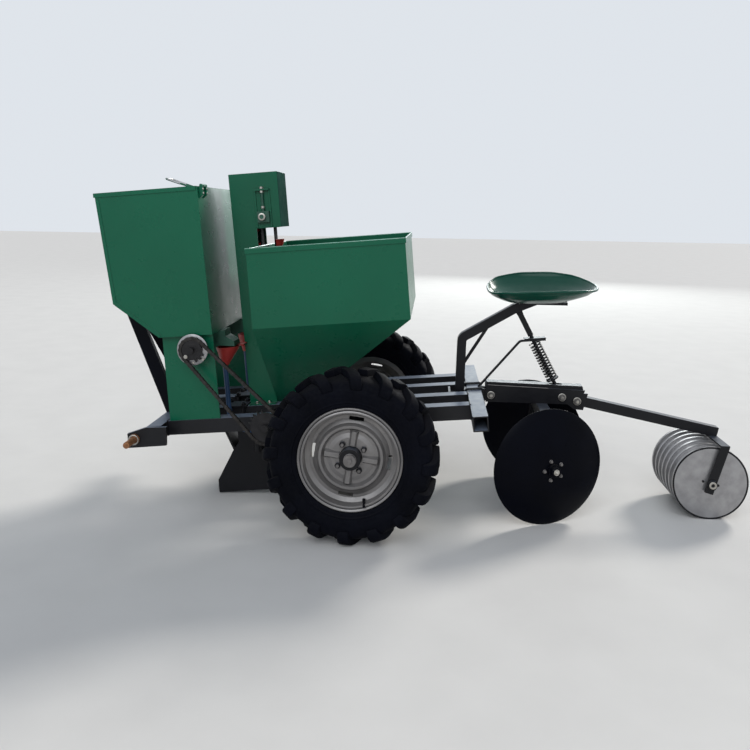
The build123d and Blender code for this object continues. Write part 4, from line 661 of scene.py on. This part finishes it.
# Bolts, nuts and weld beads of the frame, the hoppers and the drives
RAIL_YS = (-235, -83, 83, 235)
RAIL_ENDS = (-662, 396)
RAIL_LOW, RAIL_TOP = 50, 100
FOOT_Y, FOOT_TOP, FOOT_BOLTS = 87, RAIL_TOP + 4, (-380, -334)
EAR_X, EAR_YS, EAR_BOLTS = -463, (-252, -208, 208, 252), (897, 882)
BLOCK_LOW, BLOCK_BOLTS = RAIL_LOW - 14, (-50, 50)
TAKE_UP_X, TAKE_UP_Y, TAKE_UP_NUTS = -300, 82, (820, 876, 890)
# columns: distance to the rear and up from the meter shaft, distance out, width, height
METER_BOLTS = [(35, -35, 293, 9, 3), (0, -45, 293, 8, 2), (-21, -21, 303, 13, 6)]
bolts, welds = Shape(), Shape()
for hand in (-1, 1):
    # tower's foot, and the take-up rods of its upper shaft
    for x in FOOT_BOLTS:
        bolts.bolt(machine(x, hand * FOOT_Y, FOOT_TOP), UPWARD, 9, 6, washer=8)
    for z in TAKE_UP_NUTS:
        bolts.bolt(machine(TAKE_UP_X, hand * TAKE_UP_Y, z), UPWARD, 13, 8)
# ears of the lid's hinges
for ear_y in EAR_YS:
    for z in EAR_BOLTS:
        bolts.bolt(machine(EAR_X, ear_y, z), REARWARD, 7, 3)
# axle blocks, from below
for rail_y in RAIL_YS:
    for x in BLOCK_BOLTS:
        bolts.bolt(machine(x, rail_y, BLOCK_LOW), -UPWARD, 12, 8, stub=4)
for fore, lift, aside, width, high in METER_BOLTS:
    bolts.bolt(machine(METER_END[0] + fore, -aside, METER_END[1] + lift), -ACROSS, width, high)
piece("frame_bolts", "chassis", "bright_steel", bolts)
for rail_y in RAIL_YS:
    for z in (RAIL_LOW, RAIL_TOP):
        for x in RAIL_ENDS:
            welds.weld(machine(x, rail_y - 24, z), machine(x, rail_y + 24, z))
piece("frame_welds", "chassis", "black_paint", welds)

# Bright rings that catch the light
HITCH_PIN_X, HITCH_PIN_Y, HITCH_PIN_Z = -754, 342, 62
BEARING_Y = 95
FLANGE_Y = -292
# columns: distance out, radius
METER_FLANGE = [(0, 35), (0, 54), (0.7, 54), (1, 53.4), (1, 35)]
HITCH_COLLAR = [(0, 12.5), (0, 18), (1, 18), (1.5, 17), (1.5, 13.5), (1, 12.5)]
BEARING_RING = [(0, 8), (0, 13.5), (1.5, 13.5), (2, 12.5), (2, 8)]
PIN_RING = [(0, 11.5), (0, 14.5), (0.8, 14.5), (1.2, 13.8), (1.2, 11.5)]
flange = Shape()
flange_at = machine(METER_END[0], FLANGE_Y, METER_END[1])
flange.lathe(flange_at, -ACROSS, METER_FLANGE, 64, ends=False, loop=True)
piece("meter_flange", "chassis", "bright_steel", flange, finish="galvanised")
collars, bearings = Shape(), Shape()
for hand in (-1, 1):
    out = ACROSS * hand
    collar_at = machine(HITCH_PIN_X, hand * HITCH_PIN_Y, HITCH_PIN_Z)
    collars.lathe(collar_at, out, HITCH_COLLAR, 32, ends=False, loop=True)
    bearing_at = machine(ELEVATOR_X, hand * BEARING_Y, HEAD_Z)
    bearings.lathe(bearing_at, out, BEARING_RING, 32, ends=False, loop=True)
piece("hitch_collars", "chassis", "bright_steel", collars)
piece("bearing_rings", "chassis", "bright_steel", bearings)

# Cross pins of the trailing channel, and pale steel lines along the channel's top edges: a painted
# highlight
GANG_PIN = machine(482, 0, 74)
EYE_PIN = GANG_PIN + Vector((0.259, 0, 0))
ARM_PIN = GANG_PIN + Vector((0.314, 0, -0.013))
PIN_RING_OUT, PIN_HEAD_OUT, EDGE_HIGHLIGHT_OUT = 0.033, 0.042, 0.0288
# columns: distance to the rear of the front pin, height over it
# Pale steel lines along the channel's top edges: painted highlight
EDGE_HIGHLIGHT = [(-12, 37.6), (100, 34.4), (208, 31.4)]
pin_ends = Shape()
for place in (GANG_PIN, EYE_PIN, ARM_PIN):
    for hand in (-1, 1):
        out = ACROSS * hand
        pin_ends.lathe(place + out * PIN_RING_OUT, out, PIN_RING, 28, ends=False, loop=True)
        pin_ends.bolt(place + out * PIN_HEAD_OUT, out, 11, 3)
piece("gang_pin_ends", "chassis", "bright_steel", pin_ends)
highlight_lines = Shape()
for hand in (-1, 1):
    highlight_lines.tube([GANG_PIN + Vector((x * MM, hand * EDGE_HIGHLIGHT_OUT, z * MM)) for x, z in EDGE_HIGHLIGHT], 1.5)
piece("gang_highlight_lines", "chassis", "black_paint", highlight_lines, finish="dull_steel")

# Square-bent bolts and their plate that clamp the ears to the rear beam
CLAMP_FRONT, CLAMP_REAR = 391.2, 450.8
CLAMP_Y = 45
CLAMP_FOOT = 43
# columns: distance to the rear, height
CLAMP_LINE = [(CLAMP_FRONT, 36), (CLAMP_FRONT, 100), (393, 103.5), (396.5, 104.8), (445.5, 104.8),
              (449, 103.5), (CLAMP_REAR, 100), (CLAMP_REAR, 36)]
# columns: distance to the rear, distance across
CLAMP_PLATE = [(384, -54), (458, -54), (458, 54), (384, 54)]
CLAMP_THICK = 6.8
beam_clamps = Shape()
for hand in (-1, 1):
    beam_clamps.tube([machine(x, hand * CLAMP_Y, z) for x, z in CLAMP_LINE], 4.5, 12)
    for x in (CLAMP_FRONT, CLAMP_REAR):
        beam_clamps.bolt(machine(x, hand * CLAMP_Y, CLAMP_FOOT), -UPWARD, 14, 7)
beam_clamps.slab([machine(x, y, CLAMP_FOOT) for x, y in CLAMP_PLATE], UPWARD, CLAMP_THICK)
piece("beam_clamps", "chassis", "black_paint", beam_clamps)

# Lug that holds the spring's strut under the seat's arm
STRUT_TOP = machine(605, 0, 374)
LUG_HALF = 7
LUG_BOLT_DOWN = 0.012
# columns: distance down the strut, distance across it
LUG_PLATE = [(-6, -13), (16, -10), (24, -10), (24, 10), (16, 10), (-14, 13)]
down = (EYE_PIN - STRUT_TOP).normalized()
across_strut = ACROSS.cross(down).normalized()
near_side = ACROSS * (LUG_HALF * MM)
lug = Shape()
corners = [STRUT_TOP + down * along * MM + across_strut * wide * MM for along, wide in LUG_PLATE]
lug.slab([p - near_side for p in corners], ACROSS, 2 * LUG_HALF)
lug.bolt(STRUT_TOP + down * LUG_BOLT_DOWN - near_side, -ACROSS, 10, 5)
piece("strut_lug", "chassis", "black_paint", lug)

# Dark matt sheet over the back of the elevator's head: painted shade
HEAD_BACK, HEAD_SHADE_SHEET_THICK = -239.9, 0.8
# columns: distance across, height
HEAD_SHADE_SHEET = [(-74, 749), (74, 749), (74, 949), (-74, 949)]
head_shade_sheet = Shape()
head_shade_sheet.slab([machine(HEAD_BACK, y, z) for y, z in HEAD_SHADE_SHEET], REARWARD, HEAD_SHADE_SHEET_THICK)
piece("head_shade_sheet", "chassis", "green_paint", head_shade_sheet, finish="shade_sheet_paint")

# Press roller: dark rings at the rims of its end plates (painted shade), two dark bolts beside each stub
# standing in for the shade of holes there (painted shade), and the stubs' nuts
ROLLER_X, ROLLER_RADIUS, ROLLER_HALF = 1244, 131, 125
STUB_NUT_Y = 149
END_BOLT_CIRCLE, END_BOLT_TURNS = 0.027, (0.25, 0.25 + pi)
# columns: distance out, radius
# Dark rings at the end plates' rims: painted shade
PLATE_SHADE_RING = [(0, 124.8), (0.4, 125.5), (0.4, 130), (-0.2, 131.2), (-1, 131.2)]
STUB_NUT = [(0, 6.5), (0, 13), (1.6, 13), (2, 12), (2, 6.5)]
end_shade_rings, end_shade_bolts, stub_nuts = Shape(), Shape(), Shape()
for hand in (-1, 1):
    out = ACROSS * hand
    end_at = ground(ROLLER_X, hand * ROLLER_HALF, ROLLER_RADIUS)
    end_shade_rings.lathe(end_at, out, PLATE_SHADE_RING, 96, ends=False)
    # Dark bolts where the plates show dark holes: painted shade
    for turn in END_BOLT_TURNS:
        place = end_at + Vector((cos(turn), 0, -sin(turn))) * END_BOLT_CIRCLE
        end_shade_bolts.bolt(place, out, 8, 4)
    nut_at = ground(ROLLER_X, hand * STUB_NUT_Y, ROLLER_RADIUS)
    stub_nuts.lathe(nut_at, out, STUB_NUT, 28, ends=False, loop=True)
piece("roller_end_shade_rings", "roller", "galvanised", end_shade_rings, finish="black_paint")
piece("roller_end_shade_bolts", "roller", "galvanised", end_shade_bolts, finish="oiled_steel")
piece("roller_stub_nuts", "roller_arm", "black_paint", stub_nuts, finish="bright_steel")

# Pale grip of the lid's wire handle, and the bent edge round the seed hopper in a paler, glossier green
# than its paint: a painted highlight
HANDLE_AT = machine(-531, -100, 908)
HANDLE_RUN = (REARWARD * -101 + UPWARD * 42).normalized()
# columns: distance along the handle, distance across
GRIP_LINE = [(52, -35), (98, -35), (105, -31.5), (109, -24), (109, 24), (105, 31.5), (98, 35), (52, 35)]
grip = Shape()
grip.tube([HANDLE_AT + HANDLE_RUN * along * MM + ACROSS * wide * MM for along, wide in GRIP_LINE], 3.7, 10)
piece("lid_grip", "lid", "green_paint", grip, finish="galvanised")
HOPPER_EDGE_Z = 684.6
# columns: distance to the rear, distance across
HOPPER_CORNERS = [(-310.5, -350.5), (219.5, -350.5), (219.5, 350.5), (-310.5, 350.5)]
edges = Shape()
edges.tube([machine(x, y, HOPPER_EDGE_Z) for x, y in HOPPER_CORNERS], 2.2, 10, closed=True)
piece("hopper_highlight_edges", "chassis", "green_paint", edges, finish="highlight_edge_paint")

# Floor, light and camera
FLOOR_SIZE = 60
SKY_STRENGTH = 0.42
bpy.ops.mesh.primitive_plane_add(size=FLOOR_SIZE)
floor = bpy.context.object
floor.name = "floor"
floor_pale = material("floor_pale", (0.66, 0.645, 0.62), 0.9, specular=0.1, change=0.02, edge=0)
floor.data.materials.append(floor_pale)

world = bpy.data.worlds.new("studio")
bpy.context.scene.world = world
world.use_nodes = True
nodes, links = world.node_tree.nodes, world.node_tree.links
sky = nodes["Background"]
sky.inputs["Color"].default_value = (0.80, 0.87, 1.0, 1)
sky.inputs["Strength"].default_value = SKY_STRENGTH
backdrop = nodes.new("ShaderNodeBackground")
backdrop.inputs["Color"].default_value = (0.74, 0.78, 0.83, 1)
backdrop.inputs["Strength"].default_value = 1.0
# The backdrop's colour is seen by the camera, in reflections and through glass, and the sky lights the rest
rays = nodes.new("ShaderNodeLightPath")
seen = rays.outputs["Is Camera Ray"]
for ray in ("Is Glossy Ray", "Is Transmission Ray"):
    either_ray = nodes.new("ShaderNodeMath")
    either_ray.operation = "MAXIMUM"
    links.new(seen, either_ray.inputs[0])
    links.new(rays.outputs[ray], either_ray.inputs[1])
    seen = either_ray.outputs[0]
either = nodes.new("ShaderNodeMixShader")
links.new(seen, either.inputs[0])
links.new(sky.outputs[0], either.inputs[1])
links.new(backdrop.outputs[0], either.inputs[2])
links.new(either.outputs[0], nodes["World Output"].inputs["Surface"])


def lamp(name, kind, place, aim, width, power, color):
    """Soft lamp aimed at a point: a panel, its width in metres, or far light, its width in degrees."""
    data = bpy.data.lights.new(name, kind)
    if kind == "SUN":
        data.angle = radians(width)
    else:
        data.size = width
    data.energy = power
    data.color = color
    obj = bpy.data.objects.new(name, data)
    obj.location = place
    obj.rotation_euler = (Vector(aim) - Vector(place)).to_track_quat("-Z", "Y").to_euler()
    obj.visible_camera = False
    bpy.context.collection.objects.link(obj)


lamp("key", "SUN", (3.2, 3.6, 3.6), (0, 0, 0.5), 14, 2.4, (1, 0.97, 0.92))
lamp("fill", "SUN", (-1.0, -4.5, 4.2), (0, 0, 0.4), 50, 1.25, (0.92, 0.96, 1))
lamp("sheen", "AREA", (1.7, 9.0, 3.6), (-0.5, 0, 1.0), 3.5, 170, (0.93, 1, 1))

# Camera at the photograph's viewpoint, with the lens's axis above the middle of the picture
SENSOR_MM = 36
PICTURE_PX = 750.0
FOCAL_PX = 750.0
AXIS_PX = (380.7, 276.7)
CAMERA_AT = (AXLE_X + 0.246, -2.779, 1.065)
YAW, PITCH, ROLL = radians(-3.899), radians(4.854), radians(0.871)
camera_data = bpy.data.cameras.new("camera")
camera_data.sensor_width = SENSOR_MM
camera_data.lens = SENSOR_MM * FOCAL_PX / PICTURE_PX
camera_data.shift_x = (PICTURE_PX / 2 - AXIS_PX[0]) / PICTURE_PX
camera_data.shift_y = (AXIS_PX[1] - PICTURE_PX / 2) / PICTURE_PX
camera = bpy.data.objects.new("camera", camera_data)
forward = Vector((sin(YAW) * cos(PITCH), cos(YAW) * cos(PITCH), -sin(PITCH)))
level_right = Vector((cos(YAW), -sin(YAW), 0))
level_up = level_right.cross(forward)
right = level_right * cos(ROLL) + level_up * sin(ROLL)
up = level_up * cos(ROLL) - level_right * sin(ROLL)
facing = Matrix((right, up, -forward)).transposed()
camera.matrix_world = Matrix.Translation(CAMERA_AT) @ facing.to_4x4()
bpy.context.collection.objects.link(camera)
bpy.context.scene.camera = camera
bpy.context.scene.view_settings.view_transform = "Standard"
